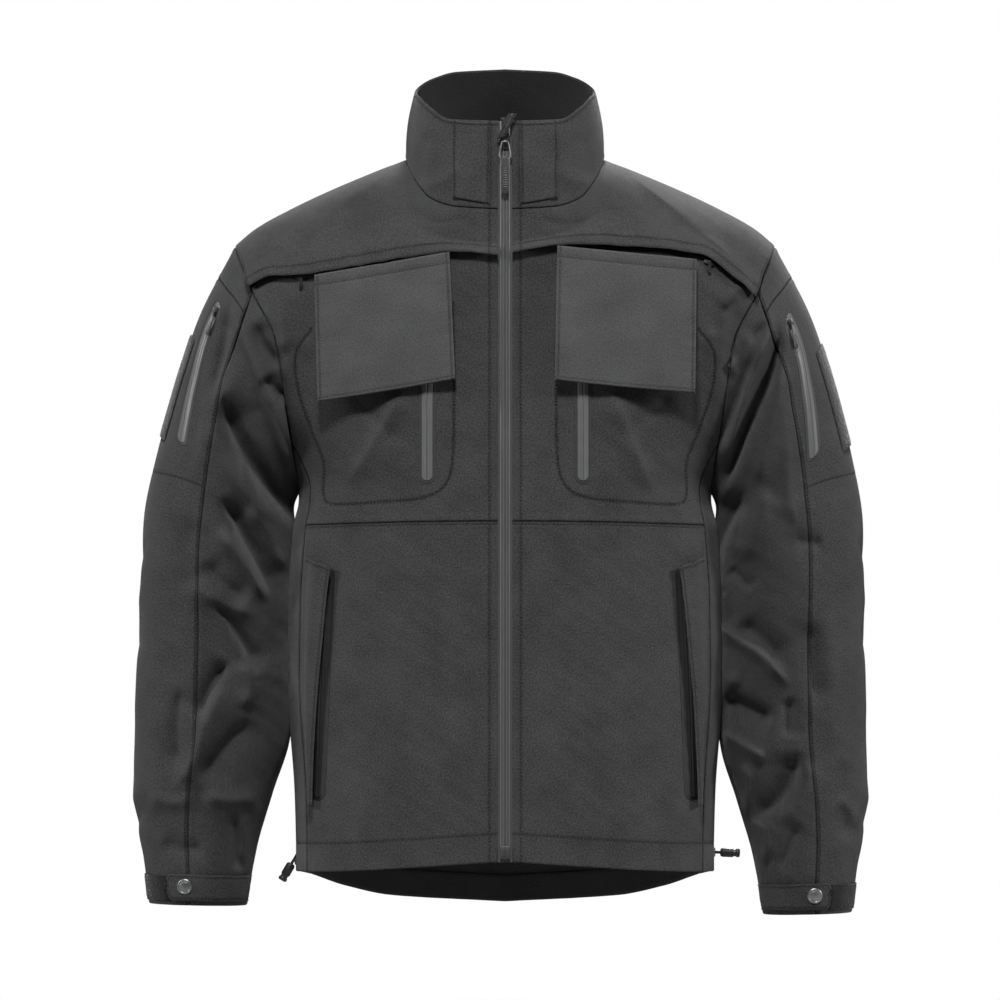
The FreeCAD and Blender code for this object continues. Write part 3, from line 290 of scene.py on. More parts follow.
# A fold: the points of its line, its half width, its height (below 0 for a valley) and its lean. A fold that
# leans is steep on one side: above 0 on the right of its line, seen along it. Front and back folds are lines
# of (x, z) and stand out along Y; side folds are lines of (y, z) on the outside of a sleeve.
TORSO_FRONT_FOLDS = [
    ([(-97, -232), (-128, -285), (-160, -336)], 15, 4.5, 0.4),
    ([(-158, -236), (-128, -262), (-104, -296)], 16, -3.6, 0),
    ([(103, -232), (124, -285), (147, -340)], 15, 4.5, -0.4),
    ([(168, -236), (140, -262), (112, -290)], 16, -3.4, 0),
    ([(112, -12), (163, -52), (228, -110)], 9, 2.6, 0.5),
    ([(149, -28), (187, -51)], 8, -1.6, 0),
    ([(-110, -14), (-160, -50), (-214, -96)], 11, 1.6, -0.3),
    ([(-30, -66), (-70, -70), (-100, -52)], 7, -1.0, 0),
    ([(26, -66), (70, -72), (104, -54)], 7, -1.0, 0),
    ([(-226, -128), (-222, -165), (-217, -215), (-211, -268), (-210, -335)], 13, 4.5, 0.2),
    ([(-248, -168), (-240, -192), (-222, -216)], 9, -6.0, 0.2),
    ([(-246, -150), (-228, -182), (-212, -200)], 12, 3.0, 0),
    ([(222, -130), (218, -165), (214, -215), (210, -268), (209, -335)], 13, 4.0, -0.2),
    ([(232, -146), (216, -160), (204, -184)], 8, -3.0, 0),
    ([(242, -132), (226, -140), (216, -158)], 8, 2.6, 0),
    ([(-204, -190), (-186, -230), (-180, -290)], 14, -2.0, 0),
    ([(200, -180), (190, -230), (184, -290)], 14, -2.0, 0),
    ([(-190, -380), (-172, -420), (-168, -520), (-156, -650)], 26, -2.6, 0),
    ([(186, -380), (170, -420), (170, -520), (156, -650)], 26, -2.6, 0),
    ([(-40, -350), (-52, -450), (-44, -600)], 26, -1.5, 0),
    ([(48, -350), (60, -450), (50, -600)], 26, -1.5, 0),
    ([(-110, -420), (-96, -530), (-104, -690)], 32, 2.0, 0),
    ([(112, -420), (98, -540), (108, -690)], 32, 1.8, 0),
    ([(206, -640), (196, -670), (194, -700)], 9, 1.6, 0),
    ([(-206, -640), (-198, -668), (-196, -700)], 9, 1.4, 0),
]
TORSO_BACK_FOLDS = [
    ([(-236, -150), (-196, -230), (-136, -300)], 17, -4.0, 0.3),
    ([(236, -150), (192, -236), (126, -310)], 18, -4.2, -0.3),
    ([(-214, -250), (-170, -330), (-150, -450)], 18, 4.0, 0.3),
    ([(212, -255), (174, -340), (152, -470)], 18, 4.2, -0.3),
    ([(-60, -230), (-52, -380), (-66, -560)], 28, -3.0, 0),
    ([(70, -240), (52, -400), (64, -590)], 30, -3.0, 0),
    ([(-120, -420), (-108, -560), (-118, -720)], 32, 3.2, 0),
    ([(124, -430), (110, -570), (122, -720)], 32, 3.0, 0),
    ([(-8, -300), (6, -450), (-4, -700)], 30, 2.2, 0),
    ([(-176, -470), (-150, -505), (-104, -520)], 13, -2.6, 0.4),
    ([(178, -450), (150, -492), (104, -512)], 13, -2.6, -0.4),
    ([(-90, -210), (0, -224), (92, -212)], 14, -1.6, 0),
]
SLEEVE_FRONT_FOLDS = {
    -1: [
        ([(-270, -140), (-264, -172), (-240, -235), (-216, -288), (-208, -330)], 13, 9.0, 0.45),
        ([(-240, -222), (-228, -236), (-214, -246)], 9, -6.0, 0),
        ([(-276, -150), (-279, -190), (-288, -226), (-297, -246)], 13, -6.5, -0.4),
        ([(-284, -120), (-292, -170), (-297, -222), (-299, -250)], 15, 3.6, 0),
        ([(-306, -180), (-299, -232), (-303, -290), (-313, -334)], 13, 3.4, 0.2),
        ([(-262, -200), (-274, -232), (-286, -262), (-296, -300)], 17, 3.0, 0),
        ([(-276, -232), (-276, -262), (-257, -304), (-232, -340), (-206, -368)], 17, -11.0, 0.5),
        ([(-290, -262), (-282, -300), (-258, -338), (-226, -372)], 16, 5.0, 0.3),
        ([(-258, -348), (-240, -376), (-224, -420)], 12, 4.0, 0),
        ([(-284, -340), (-268, -368), (-250, -404), (-230, -450)], 12, -9.5, 0.45),
        ([(-288, -372), (-268, -396), (-252, -420), (-238, -450)], 12, 7.0, 0.3),
        ([(-300, -404), (-280, -428), (-252, -444)], 13, -3.6, 0),
        ([(-312, -420), (-296, -440), (-272, -452), (-244, -458)], 12, 4.0, 0),
        ([(-294, -440), (-278, -462), (-262, -486), (-244, -520)], 13, -7.5, 0.4),
        ([(-306, -360), (-318, -400), (-312, -440)], 20, -2.6, 0),
        ([(-274, -504), (-292, -530), (-306, -566)], 9, -7.0, -0.3),
        ([(-278, -524), (-296, -560), (-308, -600), (-334, -640)], 14, 5.5, 0.3),
        ([(-258, -500), (-252, -530), (-262, -556)], 14, 5.0, 0),
        ([(-250, -560), (-278, -590), (-306, -628)], 16, -6.5, 0.35),
        ([(-322, -528), (-327, -570), (-324, -618)], 10, -4.0, 0),
        ([(-350, -540), (-346, -600), (-352, -660)], 16, 2.6, 0),
        ([(-304, -640), (-270, -644), (-240, -642)], 12, 4.2, 0),
        ([(-358, -640), (-330, -646), (-306, -640)], 12, 3.4, 0),
        ([(-270, -656), (-268, -684), (-267, -716)], 8, -4.0, 0.2),
        ([(-262, -656), (-260, -684), (-264, -712)], 6, 3.4, 0),
        ([(-344, -684), (-320, -692), (-296, -690)], 12, -2.6, 0),
    ],
    1: [
        ([(264, -150), (265, -172), (250, -210), (232, -262), (214, -326)], 11, 9.0, -0.4),
        ([(268, -158), (272, -190), (258, -238), (236, -286), (214, -344)], 9, -10.0, -0.3),
        ([(262, -166), (242, -188), (220, -212)], 7, -4.6, 0.2),
        ([(250, -192), (238, -226), (222, -268), (210, -300)], 10, -7.0, 0),
        ([(248, -178), (232, -200), (214, -222)], 9, 4.6, 0),
        ([(284, -196), (276, -232), (262, -286), (246, -340)], 15, 5.0, -0.2),
        ([(284, -120), (282, -160), (284, -200)], 12, 3.0, 0),
        ([(292, -230), (282, -300), (284, -350), (296, -382)], 13, 3.4, -0.2),
        ([(240, -330), (228, -366), (214, -404), (206, -436)], 14, -9.0, -0.4),
        ([(262, -330), (252, -372), (236, -410)], 18, 4.0, -0.2),
        ([(284, -384), (300, -388), (318, -386)], 9, -2.6, 0),
        ([(226, -412), (238, -424), (250, -434)], 9, -3.0, 0),
        ([(206, -424), (214, -434), (224, -442)], 6, -3.0, 0),
        ([(206, -462), (232, -482), (256, -500), (288, -534)], 8, 5.5, -0.4),
        ([(234, -466), (256, -482), (278, -506)], 13, -5.0, 0),
        ([(208, -500), (222, -520), (240, -528)], 12, 3.4, 0),
        ([(303, -462), (306, -500), (311, -552)], 10, -4.6, 0),
        ([(322, -450), (326, -520), (326, -600)], 18, 2.6, 0),
        ([(218, -540), (244, -552), (270, -568)], 16, -7.0, -0.3),
        ([(282, -540), (284, -560), (283, -584)], 8, -4.0, 0),
        ([(218, -574), (238, -588), (262, -604)], 8, 4.4, -0.4),
        ([(290, -592), (287, -620), (270, -648), (242, -664)], 15, -8.0, -0.45),
        ([(240, -606), (242, -632), (239, -664)], 6, 4.0, 0),
        ([(304, -600), (296, -640), (272, -668)], 14, 4.0, 0),
        ([(256, -660), (261, -682), (258, -708)], 7, 4.6, -0.2),
        ([(294, -664), (284, -690), (272, -716)], 10, -3.2, 0),
        ([(330, -640), (342, -652), (352, -668)], 10, 3.6, 0),
        ([(340, -600), (336, -640), (342, -690)], 14, -2.4, 0),
    ],
}
SLEEVE_BACK_FOLDS = [
    ([(286, -150), (262, -230), (240, -310)], 17, -6.0, 0.3),
    ([(254, -180), (236, -270), (222, -350)], 14, 5.0, 0.2),
    ([(336, -320), (290, -380), (236, -410)], 14, -8.0, 0.4),
    ([(342, -366), (300, -420), (244, -452)], 14, 7.0, 0.3),
    ([(346, -420), (304, -466), (250, -500)], 13, -8.0, 0.4),
    ([(348, -462), (310, -508), (256, -540)], 14, 5.5, 0.2),
    ([(300, -540), (312, -600), (304, -660)], 20, -4.0, 0),
    ([(342, -560), (300, -630), (262, -650)], 13, -4.5, 0.3),
    ([(346, -630), (306, -690), (270, -706)], 12, 4.0, 0),
]
SLEEVE_SIDE_FOLDS = [
    ([(-76, -384), (-40, -404), (4, -396)], 13, -4.0, 0.3),
    ([(-70, -424), (-36, -448), (8, -438)], 15, 3.4, 0),
    ([(-66, -470), (-36, -494), (6, -482)], 13, -4.2, 0.3),
    ([(-50, -550), (-42, -600), (-46, -640)], 16, -2.2, 0),
    ([(-84, -650), (-44, -668), (-4, -658)], 11, -4.5, 0.3),
    ([(-80, -632), (-44, -644), (-4, -636)], 12, 3.0, 0),
]
COLLAR_FOLDS = [
    ([(-72, 24), (-84, -6), (-84, -34)], 13, -2.2, 0),
    ([(70, 22), (84, -6), (84, -32)], 13, -2.2, 0),
    ([(-44, -14), (-64, -30), (-86, -34)], 10, 1.6, 0),
    ([(46, -12), (66, -28), (88, -30)], 10, 1.6, 0),
]
FACING_FROM, FACING_OVER = 4, 34     # how far from the middle plane the folds begin, and over what they grow
CREST = 0.3                          # how round a fold's crest is, as a share of its width
GAIN = {"torso": 1.4, "back": 2.0, "sleeve": 2.0, "sleeve_side": 0.2, "collar": 1.4}
LOOSE = {"torso": 0.8, "sleeve": 0.9, "collar": 0.35}        # how uneven each zone's cloth hangs
CUFF_HELD_Z = -752                   # the cuff holds the cloth here; folds grow above it


def smooth_line(points, count=28):
    """A fold's line as many short steps through its points."""
    points = np.array(points, float)
    reach = np.concatenate([[0], np.cumsum(np.linalg.norm(np.diff(points, axis=0), axis=1))])
    t = np.linspace(0, reach[-1], count)
    if len(points) == 2:
        return between(t, reach, points)
    ends = [2 * points[0] - points[1], 2 * points[-1] - points[-2]]
    padded = np.vstack([ends[0], points, ends[1]])
    k = np.clip(np.searchsorted(reach, t, side="right") - 1, 0, len(points) - 2)
    s = ((t - reach[k]) / (reach[k + 1] - reach[k]))[:, None]
    p0, p1, p2, p3 = (padded[k + i] for i in range(4))
    return 0.5 * (2 * p1 + (p2 - p0) * s + (2 * p0 - 5 * p1 + 4 * p2 - p3) * s ** 2
                  + (3 * p1 - p0 - 3 * p2 + p3) * s ** 3)


def fold_height(flat, fold):
    """How far one fold raises points given by their two flat coordinates."""
    line, width, height, lean = smooth_line(fold[0]), fold[1], fold[2], fold[3]
    raised = np.zeros(len(flat))
    reach = 3 * width
    near = np.all((flat > line.min(0) - reach) & (flat < line.max(0) + reach), axis=1)
    if not near.any():
        return raised
    p = flat[near]
    start, step = line[:-1], np.diff(line, axis=0)
    length = (step ** 2).sum(1)
    to = p[:, None] - start[None]
    t = np.clip((to * step).sum(2) / length, 0, 1)
    off = to - t[..., None] * step
    distance = (off ** 2).sum(2)
    k = distance.argmin(1)
    pick = np.arange(len(p))
    side = np.sign(step[k, 0] * off[pick, k, 1] - step[k, 1] * off[pick, k, 0])
    place = (k + t[pick, k]) / len(step)
    half = width * (1 + lean * side)
    taper = ease(place / 0.25) * ease((1 - place) / 0.25)
    crest = np.sqrt(distance[pick, k] / half ** 2 + CREST ** 2) - CREST
    raised[near] = height * taper * np.exp(-1.7 * crest)
    return raised


WAVES = [(rng.normal(size=3) * 2 * math.pi / wave, rng.uniform(0, 2 * math.pi), size)
         for wave, size in ((95, 0.5), (70, 0.4), (52, 0.3), (150, 0.6), (38, 0.16), (120, 0.5))]


def lumps(points):
    """Gentle unevenness of hanging cloth, about a millimetre."""
    return sum(size * np.sin(points @ way + phase) for way, phase, size in WAVES)


def calm(points):
    """1 on loose cloth, towards 0 by the straight zips, where the cloth is held flat."""
    x, z = np.abs(points[:, 0]), points[:, 2]
    middle = np.clip((x - 14) / 30, 0, 1)
    chest_zip = np.where((z < -210) & (z > -340), np.clip((np.abs(x - 77) - 8) / 14, 0, 1), 1)
    return ease(middle) * (0.25 + 0.75 * chest_zip)


def sleeve_calm(points):
    """Towards 0 by the sleeve zip, so that it lies straight."""
    t = np.clip((-150 - points[:, 2]) / 150, 0, 1)
    line = np.where(points[:, 0] < 0, mix(293, 326, t), mix(288, 305, t))
    off = np.abs(np.abs(points[:, 0]) - line)
    beside = ease((off - 7) / 20)
    past = ease((-points[:, 2] - 325) / 30)
    return np.maximum(0.15 + 0.85 * beside, past)


def pressed(points, zone):
    """How far cloth moves sideways where the sleeve and the body rest against each other, along +X."""
    z, wide = points[:, 2], np.abs(points[:, 0])
    body = 5 * ease((-z - 345) / 30) * ease((z + 640) / 130) * ease((wide - 165) / 45)
    arm = -4 * ease((-z - 345) / 30) * ease((z + 640) / 90) * ease((262 - wide) / 40)
    return np.sign(points[:, 0]) * (body if zone == "torso" else arm)


def relief(points, zone, side=0):
    """The way that folds move points of a zone: torso, sleeve or collar."""
    shape = points.shape
    flat = points.reshape(-1, 3)
    middle = SLEEVE_Y if zone == "sleeve" else MID_Y
    front = ease((middle - flat[:, 1] - FACING_FROM) / FACING_OVER)
    back = ease((flat[:, 1] - middle - FACING_FROM) / FACING_OVER)
    on_front, on_side = flat[:, [0, 2]], flat[:, [1, 2]]
    mirrored = np.stack([np.abs(flat[:, 0]), flat[:, 2]], axis=1)
    ahead, behind, aside = np.zeros(len(flat)), np.zeros(len(flat)), np.zeros(len(flat))
    if zone == "collar":
        ahead += sum(fold_height(on_front, fold) for fold in COLLAR_FOLDS) * GAIN[zone]
    else:
        ahead += sum(fold_height(on_front, fold) for fold in TORSO_FRONT_FOLDS) * GAIN["torso"]
        behind += sum(fold_height(on_front, fold) for fold in TORSO_BACK_FOLDS) * GAIN["back"]
    if zone == "sleeve":
        held = ease((flat[:, 2] - CUFF_HELD_Z) / 40) * GAIN[zone]
        ahead += sum(fold_height(on_front, fold) for fold in SLEEVE_FRONT_FOLDS[side]) * held
        behind += sum(fold_height(mirrored, fold) for fold in SLEEVE_BACK_FOLDS) * held
        outside = ease((np.abs(flat[:, 0]) - 300) / 34)
        aside += sum(fold_height(on_side, fold) for fold in SLEEVE_SIDE_FOLDS) * held * outside
        aside *= GAIN["sleeve_side"]
    uneven = lumps(flat) * LOOSE[zone]
    still = sleeve_calm(flat) if zone == "sleeve" else calm(flat)
    move = np.zeros_like(flat)
    move[:, 1] = (behind + uneven) * back - (ahead * still + uneven * still) * front
    move[:, 0] = side * aside
    if zone != "collar":
        move[:, 0] += pressed(flat, zone)
    return move.reshape(shape)


# ---------------------------------------------------------------- sheets of cloth

SEAM_MARKS = (0, 0.5, 1.1, 1.9, 3.0, 4.6)
EDGES = ("start", "end", "low", "high")
FOLDED, PLAIN = dict.fromkeys(EDGES, "fold"), dict.fromkeys(EDGES, "plain")


def marks_for(stitched):
    """Distances from an edge at which a sheet has lines of points, with a few by each line of stitches."""
    extra = [d + shift for d in stitched for shift in (-1.1, 0, 1.1)]
    kept = [m for m in SEAM_MARKS if all(abs(m - e) > 0.45 for e in extra)]
    return np.array(sorted(kept + extra))


def even_out(grid, step, start_marks, end_marks):
    """A grid of points resampled along its first axis: even steps, with set distances by both ends."""
    lengths = np.linalg.norm(np.diff(grid, axis=0), axis=2)
    far = np.vstack([np.zeros(grid.shape[1]), np.cumsum(lengths, axis=0)])
    inner = max(2, int(far[-1].max() / step))
    columns = []
    for j in range(grid.shape[1]):
        total = max(far[-1, j], 1e-3)
        low = start_marks * min(1, 0.4 * total / max(start_marks[-1], 1e-3))
        high = end_marks * min(1, 0.4 * total / max(end_marks[-1], 1e-3))
        middle = np.linspace(low[-1], total - high[-1], inner + 2)[1:-1]
        at = np.concatenate([low, middle, total - high[::-1]])
        columns.append(between(at, far[:, j], grid[:, j]))
    return np.stack(columns, axis=1)


def normals_of(grid):
    du, dv = np.gradient(grid, axis=0), np.gradient(grid, axis=1)
    normal = np.cross(du, dv)
    return normal / np.maximum(np.linalg.norm(normal, axis=2, keepdims=True), 1e-9)


def torso_core(points):
    return points * (0.25, 0, 1) + (0, MID_Y, 0)


def sleeve_core(side):
    def core(points):
        x = side * along([(-800, 305), (-300, 282), (-90, 225)], points[..., 2])
        return xyz(x, SLEEVE_Y, points[..., 2])
    return core


class Sheet:
    """A piece of cloth as a grid of points. Its edges are start and end, along which u is 0 and 1, and low
    and high, where v is 0 and 1. An edge is a seam, a fold (a rounded turned edge) or plain; stitched says
    at what distances from each edge there are lines of stitches."""

    def __init__(self, surface, step, core=torso_core, zone="torso", side=0, edges=None, stitched=None,
                 lift=0, thickness=CLOTH, fine=(150, 150)):
        u, v = np.meshgrid(np.linspace(0, 1, fine[0]), np.linspace(0, 1, fine[1]), indexing="ij")
        base = surface(u, v)
        if zone:
            base = base + relief(base, zone, side)
        normal = normals_of(base)
        self.sign = 1 if (normal * (base - core(base))).sum() > 0 else -1
        raised = lift(u, v) if callable(lift) else np.full(u.shape, float(lift))
        base = base + normal * self.sign * raised[..., None]
        self.edges = edges or {}
        self.stitched = stitched or {}
        marks = {edge: marks_for(self.stitched.get(edge, ())) for edge in EDGES}
        across, up = np.broadcast_to(step, 2)
        grid = even_out(base, across, marks["start"], marks["end"])
        grid = even_out(grid.swapaxes(0, 1), up, marks["low"], marks["high"]).swapaxes(0, 1)
        self.thickness = thickness
        self.points = grid
        self.measure()
        self.shape_edges()

    def measure(self):
        """Distances along the cloth from each edge."""
        across = np.linalg.norm(np.diff(self.points, axis=0), axis=2)
        up = np.linalg.norm(np.diff(self.points, axis=1), axis=2)
        self.s = np.vstack([np.zeros(across.shape[1]), np.cumsum(across, axis=0)])
        self.t = np.hstack([np.zeros((up.shape[0], 1)), np.cumsum(up, axis=1)])
        self.away = {"start": self.s, "end": self.s[-1:] - self.s,
                     "low": self.t, "high": self.t[:, -1:] - self.t}

    def shape_edges(self):
        """Rolls seams in, rounds turned edges, presses stitched lines into the cloth, and paints shade along
        the seams and stitched lines.
        """
        self.normals = normals_of(self.points) * self.sign
        top = np.zeros(self.s.shape)
        under = np.zeros(self.s.shape)
        # seam: painted shade from 0 to 1, darkest in the seam and stitch grooves; the cloth materials darken
        # their colour by it
        self.seam = np.zeros(self.s.shape)
        for edge, d in self.away.items():
            kind = self.edges.get(edge, "seam")
            run = self.t if edge in ("start", "end") else self.s
            pucker = 0.16 * np.sin(run / 2.1 + 2 * np.sin(run / 17)) * np.exp(-d / 8) * (1 - np.exp(-d / 1.2))
            if kind == "seam":
                top += -0.9 * np.exp(-(d / 0.7) ** 2) + 0.3 * np.exp(-((d - 3.6) / 2.4) ** 2) + pucker
                # painted shade in the seam's groove
                self.seam = np.maximum(self.seam, 0.65 * np.exp(-(d / 0.9) ** 2))
            elif kind == "fold":
                round_off = 0.42 * self.thickness * np.exp(-(d / (0.55 * self.thickness)) ** 2)
                top += pucker - round_off
                under += round_off
            for distance in self.stitched.get(edge, ()):
                groove = np.exp(-((d - distance) / 0.9) ** 2)
                top -= 0.35 * groove
                # painted shade in the stitch's groove
                self.seam = np.maximum(self.seam, 0.55 * groove)
        self.outer = self.points + self.normals * top[..., None]
        self.inner = self.points + self.normals * (np.minimum(top, 0) * (under == 0) + under
                                                   - self.thickness)[..., None]

    def line(self, edge, distance):
        """Points and normals of the line at one distance from an edge."""
        points, normals, d = self.outer, self.normals, self.away[edge]
        if edge in ("low", "high"):
            points, normals, d = points.swapaxes(0, 1), normals.swapaxes(0, 1), d.T
        if edge in ("end", "high"):
            points, normals, d = points[::-1], normals[::-1], d[::-1]
        found = [[np.interp(distance, d[:, j], grid[:, j, c]) for grid in (points, normals) for c in range(3)]
                 for j in range(points.shape[1])]
        found = np.array(found)
        return found[:, :3], found[:, 3:]

    def sew_onto(self, shape):
        """Adds all the sheet's lines of stitches to a Shape."""
        for edge, distances in self.stitched.items():
            for distance in distances:
                sew(shape, *self.line(edge, distance))

    def add_to(self, shape, outer_slot=0, inner_slot=1):
        """Adds the closed solid of the cloth to a Shape."""
        n, m = self.s.shape
        count = n * m
        number = np.arange(count).reshape(n, m)
        quads = np.stack([number[:-1, :-1], number[1:, :-1], number[1:, 1:], number[:-1, 1:]], axis=-1)
        quads = quads.reshape(-1, 4)
        rim = np.concatenate([number[:-1, 0], number[-1, :-1], number[:0:-1, -1], number[0, :0:-1]])
        after = np.roll(rim, -1)
        sides = np.stack([rim, rim + count, after + count, after], axis=1)
        inside = quads[:, ::-1] + count
        if self.sign < 0:
            quads, inside, sides = quads[:, ::-1], inside[:, ::-1], sides[:, ::-1]
        points = np.vstack([self.outer.reshape(-1, 3), self.inner.reshape(-1, 3)])
        weave = np.stack([self.s, self.t, np.zeros_like(self.s)], axis=-1).reshape(-1, 3)
        seam = self.seam.ravel()
        faces = np.vstack([quads, sides, inside])
        slots = np.repeat([outer_slot, outer_slot, inner_slot], [len(quads), len(sides), len(inside)])
        shape.add(points, faces, slots, np.vstack([weave, weave]), np.concatenate([seam, seam]))


class Shape:
    """Points and faces of one piece while it is being made."""

    def __init__(self):
        self.points, self.faces, self.slots, self.weave, self.seam = [], [], [], [], []
        self.count = 0

    def add(self, points, faces, slots=0, weave=None, seam=None):
        points = np.asarray(points, float)
        size = len(faces)
        self.points.append(points)
        self.faces.extend((np.asarray(faces) + self.count).tolist() if isinstance(faces, np.ndarray)
                          else [[i + self.count for i in face] for face in faces])
        self.slots.append(np.broadcast_to(slots, size))
        self.weave.append(points * (1, 0.4, 1) if weave is None else weave)
        self.seam.append(np.zeros(len(points)) if seam is None else seam)
        self.count += len(points)

    def piece(self, name, materials, slot, replaces=(), body=BODY, sharp=None):
        """The finished Blender object, riding on its body."""
        mesh = bpy.data.meshes.new(name)
        mesh.from_pydata((np.vstack(self.points) * MM).tolist(), [], self.faces)
        for material in materials:
            mesh.materials.append(material)
        mesh.polygons.foreach_set("material_index", np.concatenate(self.slots).astype(np.int32))
        mesh.polygons.foreach_set("use_smooth", np.full(len(self.faces), True))
        weave = mesh.attributes.new("weave", "FLOAT_VECTOR", "POINT")
        weave.data.foreach_set("vector", (np.vstack(self.weave) * MM).astype(np.float32).ravel())
        # the seam attribute carries the painted shade of seam and stitch grooves to the materials
        seam = mesh.attributes.new("seam", "FLOAT", "POINT")
        seam.data.foreach_set("value", np.concatenate(self.seam).astype(np.float32))
        if sharp is not None:
            mesh.set_sharp_from_angle(angle=math.radians(sharp))
        mesh.validate()
        mesh.update()
        made = bpy.data.objects.new(name, mesh)
        bpy.context.scene.collection.objects.link(made)
        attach(made, body)
        if replaces:
            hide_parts(*replaces)
        return made


# ---------------------------------------------------------------- small shapes

def unit(vector):
    vector = np.asarray(vector, float)
    return vector / np.maximum(np.linalg.norm(vector, axis=-1, keepdims=True), 1e-9)


def frame_on(top, bottom, facing):
    """A frame at top: Z up from bottom to top, -Y outwards. Rows of the 3x3 part are the axes."""
    up = unit(np.asarray(top) - bottom)
    right = unit(np.cross(up, facing))
    return np.asarray(top, float), np.array([right, np.cross(up, right), up])


def placed(place, points):
    """Points given in a frame, in the jacket's own axes."""
    origin, axes = place
    return origin + np.asarray(points, float) @ axes


def moved(place, x, y, z):
    origin, axes = place
    return placed(place, (x, y, z)), axes


def axis_frame(origin, direction):
    """A frame whose Z axis is a direction."""
    z = unit(direction)
    x = unit(np.cross((0, 1, 0) if abs(z[1]) < 0.9 else (1, 0, 0), z))
    return np.asarray(origin, float), np.array([x, np.cross(z, x), z])


def rounded(corners, radius, steps=4):
    """An outline with its corners rounded; radius is a number or one for each corner."""
    corners = np.array(corners, float)
    count = len(corners)
    radii = np.broadcast_to(radius, count)
    out = []
    for i in range(count):
        before, here, after = corners[i - 1], corners[i], corners[(i + 1) % count]
        to_before, to_after = unit(before - here), unit(after - here)
        angle = math.acos(np.clip(to_before @ to_after, -1, 1))
        cut = min(radii[i] / max(math.tan(angle / 2), 1e-3), 0.49 * np.linalg.norm(before - here),
                  0.49 * np.linalg.norm(after - here))
        a, b = here + to_before * cut, here + to_after * cut
        for t in np.linspace(0, 1, steps + 1):
            out.append((1 - t) ** 2 * a + 2 * t * (1 - t) * here + t * t * b)
    return np.array(out)


def slab(shape, place, outline, front, back, bevel=0.3, slots=0):
    """A flat plate with bevelled rims: an (x, z) outline between two depths, front the one further out."""
    outline = np.asarray(outline, float)
    middle = outline.mean(0)
    inward = unit(middle - outline)
    rings = []
    for depth, shrink in ((front, bevel), (front + bevel * 0.3, bevel * 0.3), (front + bevel, 0),
                          (back - bevel, 0), (back - bevel * 0.3, bevel * 0.3), (back, bevel)):
        flat = outline + inward * shrink
        rings.append(np.stack([flat[:, 0], np.full(len(flat), depth), flat[:, 1]], axis=1))
    loft(shape, [placed(place, ring) for ring in rings], slots)


def ring_faces(count, size, closed=False):
    """Faces between rings of points, with a cap on each end unless the last ring joins the first."""
    faces = []
    for k in range(count if closed else count - 1):
        here, after = k * size, (k + 1) % count * size
        for i in range(size):
            j = (i + 1) % size
            faces.append([here + i, here + j, after + j, after + i])
    if not closed:
        faces.append(list(range(size - 1, -1, -1)))
        faces.append([(count - 1) * size + i for i in range(size)])
    return faces


def loft(shape, rings, slots=0):
    """A closed solid through rings of points."""
    shape.add(np.vstack(rings), ring_faces(len(rings), len(rings[0])), slots)


def lathe(shape, place, profile, segments=36, flutes=0, depth=0):
    """A turned part about a frame's Z axis: profile of (radius, height), with optional flutes round it."""
    angles = np.linspace(0, 2 * math.pi, segments, endpoint=False)
    wave = 1 - depth * (0.5 + 0.5 * np.cos(angles * flutes)) if flutes else np.ones(segments)
    rings = []
    for radius, height in profile:
        r = radius * wave
        rings.append(placed(place, np.stack([r * np.cos(angles), r * np.sin(angles),
                                             np.full(segments, height)], axis=1)))
    loft(shape, rings)


def tube(shape, path, radius, sides=10, closed=False, slots=0, flat=1.0, facing=(0, -1, 0)):
    """A round or flattened tube along a path."""
    path = np.asarray(path, float)
    count = len(path)
    if closed:
        ahead = unit(np.roll(path, -1, axis=0) - np.roll(path, 1, axis=0))
    else:
        ahead = unit(np.gradient(path, axis=0))
    beside = unit(np.cross(ahead, np.broadcast_to(facing, path.shape)))
    over = np.cross(beside, ahead)
    radii = np.broadcast_to(radius, count)[:, None, None]
    angles = np.linspace(0, 2 * math.pi, sides, endpoint=False)[None, :, None]
    rings = path[:, None] + radii * (beside[:, None] * np.cos(angles) + over[:, None] * np.sin(angles) * flat)
    shape.add(rings.reshape(-1, 3), ring_faces(count, sides, closed), slots)


STITCH_LENGTH, STITCH_GAP = 2.5, 0.9
STITCH_RINGS = ((0.0, 0.35, -0.18), (0.22, 1.0, 0.12), (0.78, 1.0, 0.12), (1.0, 0.35, -0.18))
STITCH_SECTION = ((-0.27, -0.12), (-0.2, 0.16), (0.2, 0.16), (0.27, -0.12))


def sew(shape, points, normals):
    """A line of separate stitches along a path on the cloth."""
    reach = np.concatenate([[0], np.cumsum(np.linalg.norm(np.diff(points, axis=0), axis=1))])
    starts = np.arange(STITCH_GAP, reach[-1] - STITCH_LENGTH, STITCH_LENGTH + STITCH_GAP)
    if not len(starts):
        return
    rings = []
    for share, swell, height in STITCH_RINGS:
        at = starts + share * STITCH_LENGTH
        rings.append((between(at, reach, points), unit(between(at, reach, normals)), swell, height))
    ahead = unit(rings[-1][0] - rings[0][0])
    corners = []
    for p, n, swell, height in rings:
        beside = unit(np.cross(n, ahead))
        for x, y in STITCH_SECTION:
            corners.append(p + beside * (x * swell) + n * (y * swell + height))
    corners = np.stack(corners, axis=1)
    per, sides = corners.shape[1], len(STITCH_SECTION)
    faces = []
    for k in range(len(STITCH_RINGS) - 1):
        for i in range(sides):
            j = (i + 1) % sides
            faces.append((k * sides + i, (k + 1) * sides + i, (k + 1) * sides + j, k * sides + j))
    faces.append(tuple(range(sides)))
    faces.append(tuple(range(per - 1, per - 1 - sides, -1)))
    faces = np.array(faces)
    offsets = np.arange(len(starts)) * per
    shape.add(corners.reshape(-1, 3), (faces[None] + offsets[:, None, None]).reshape(-1, 4))


# ---------------------------------------------------------------- materials

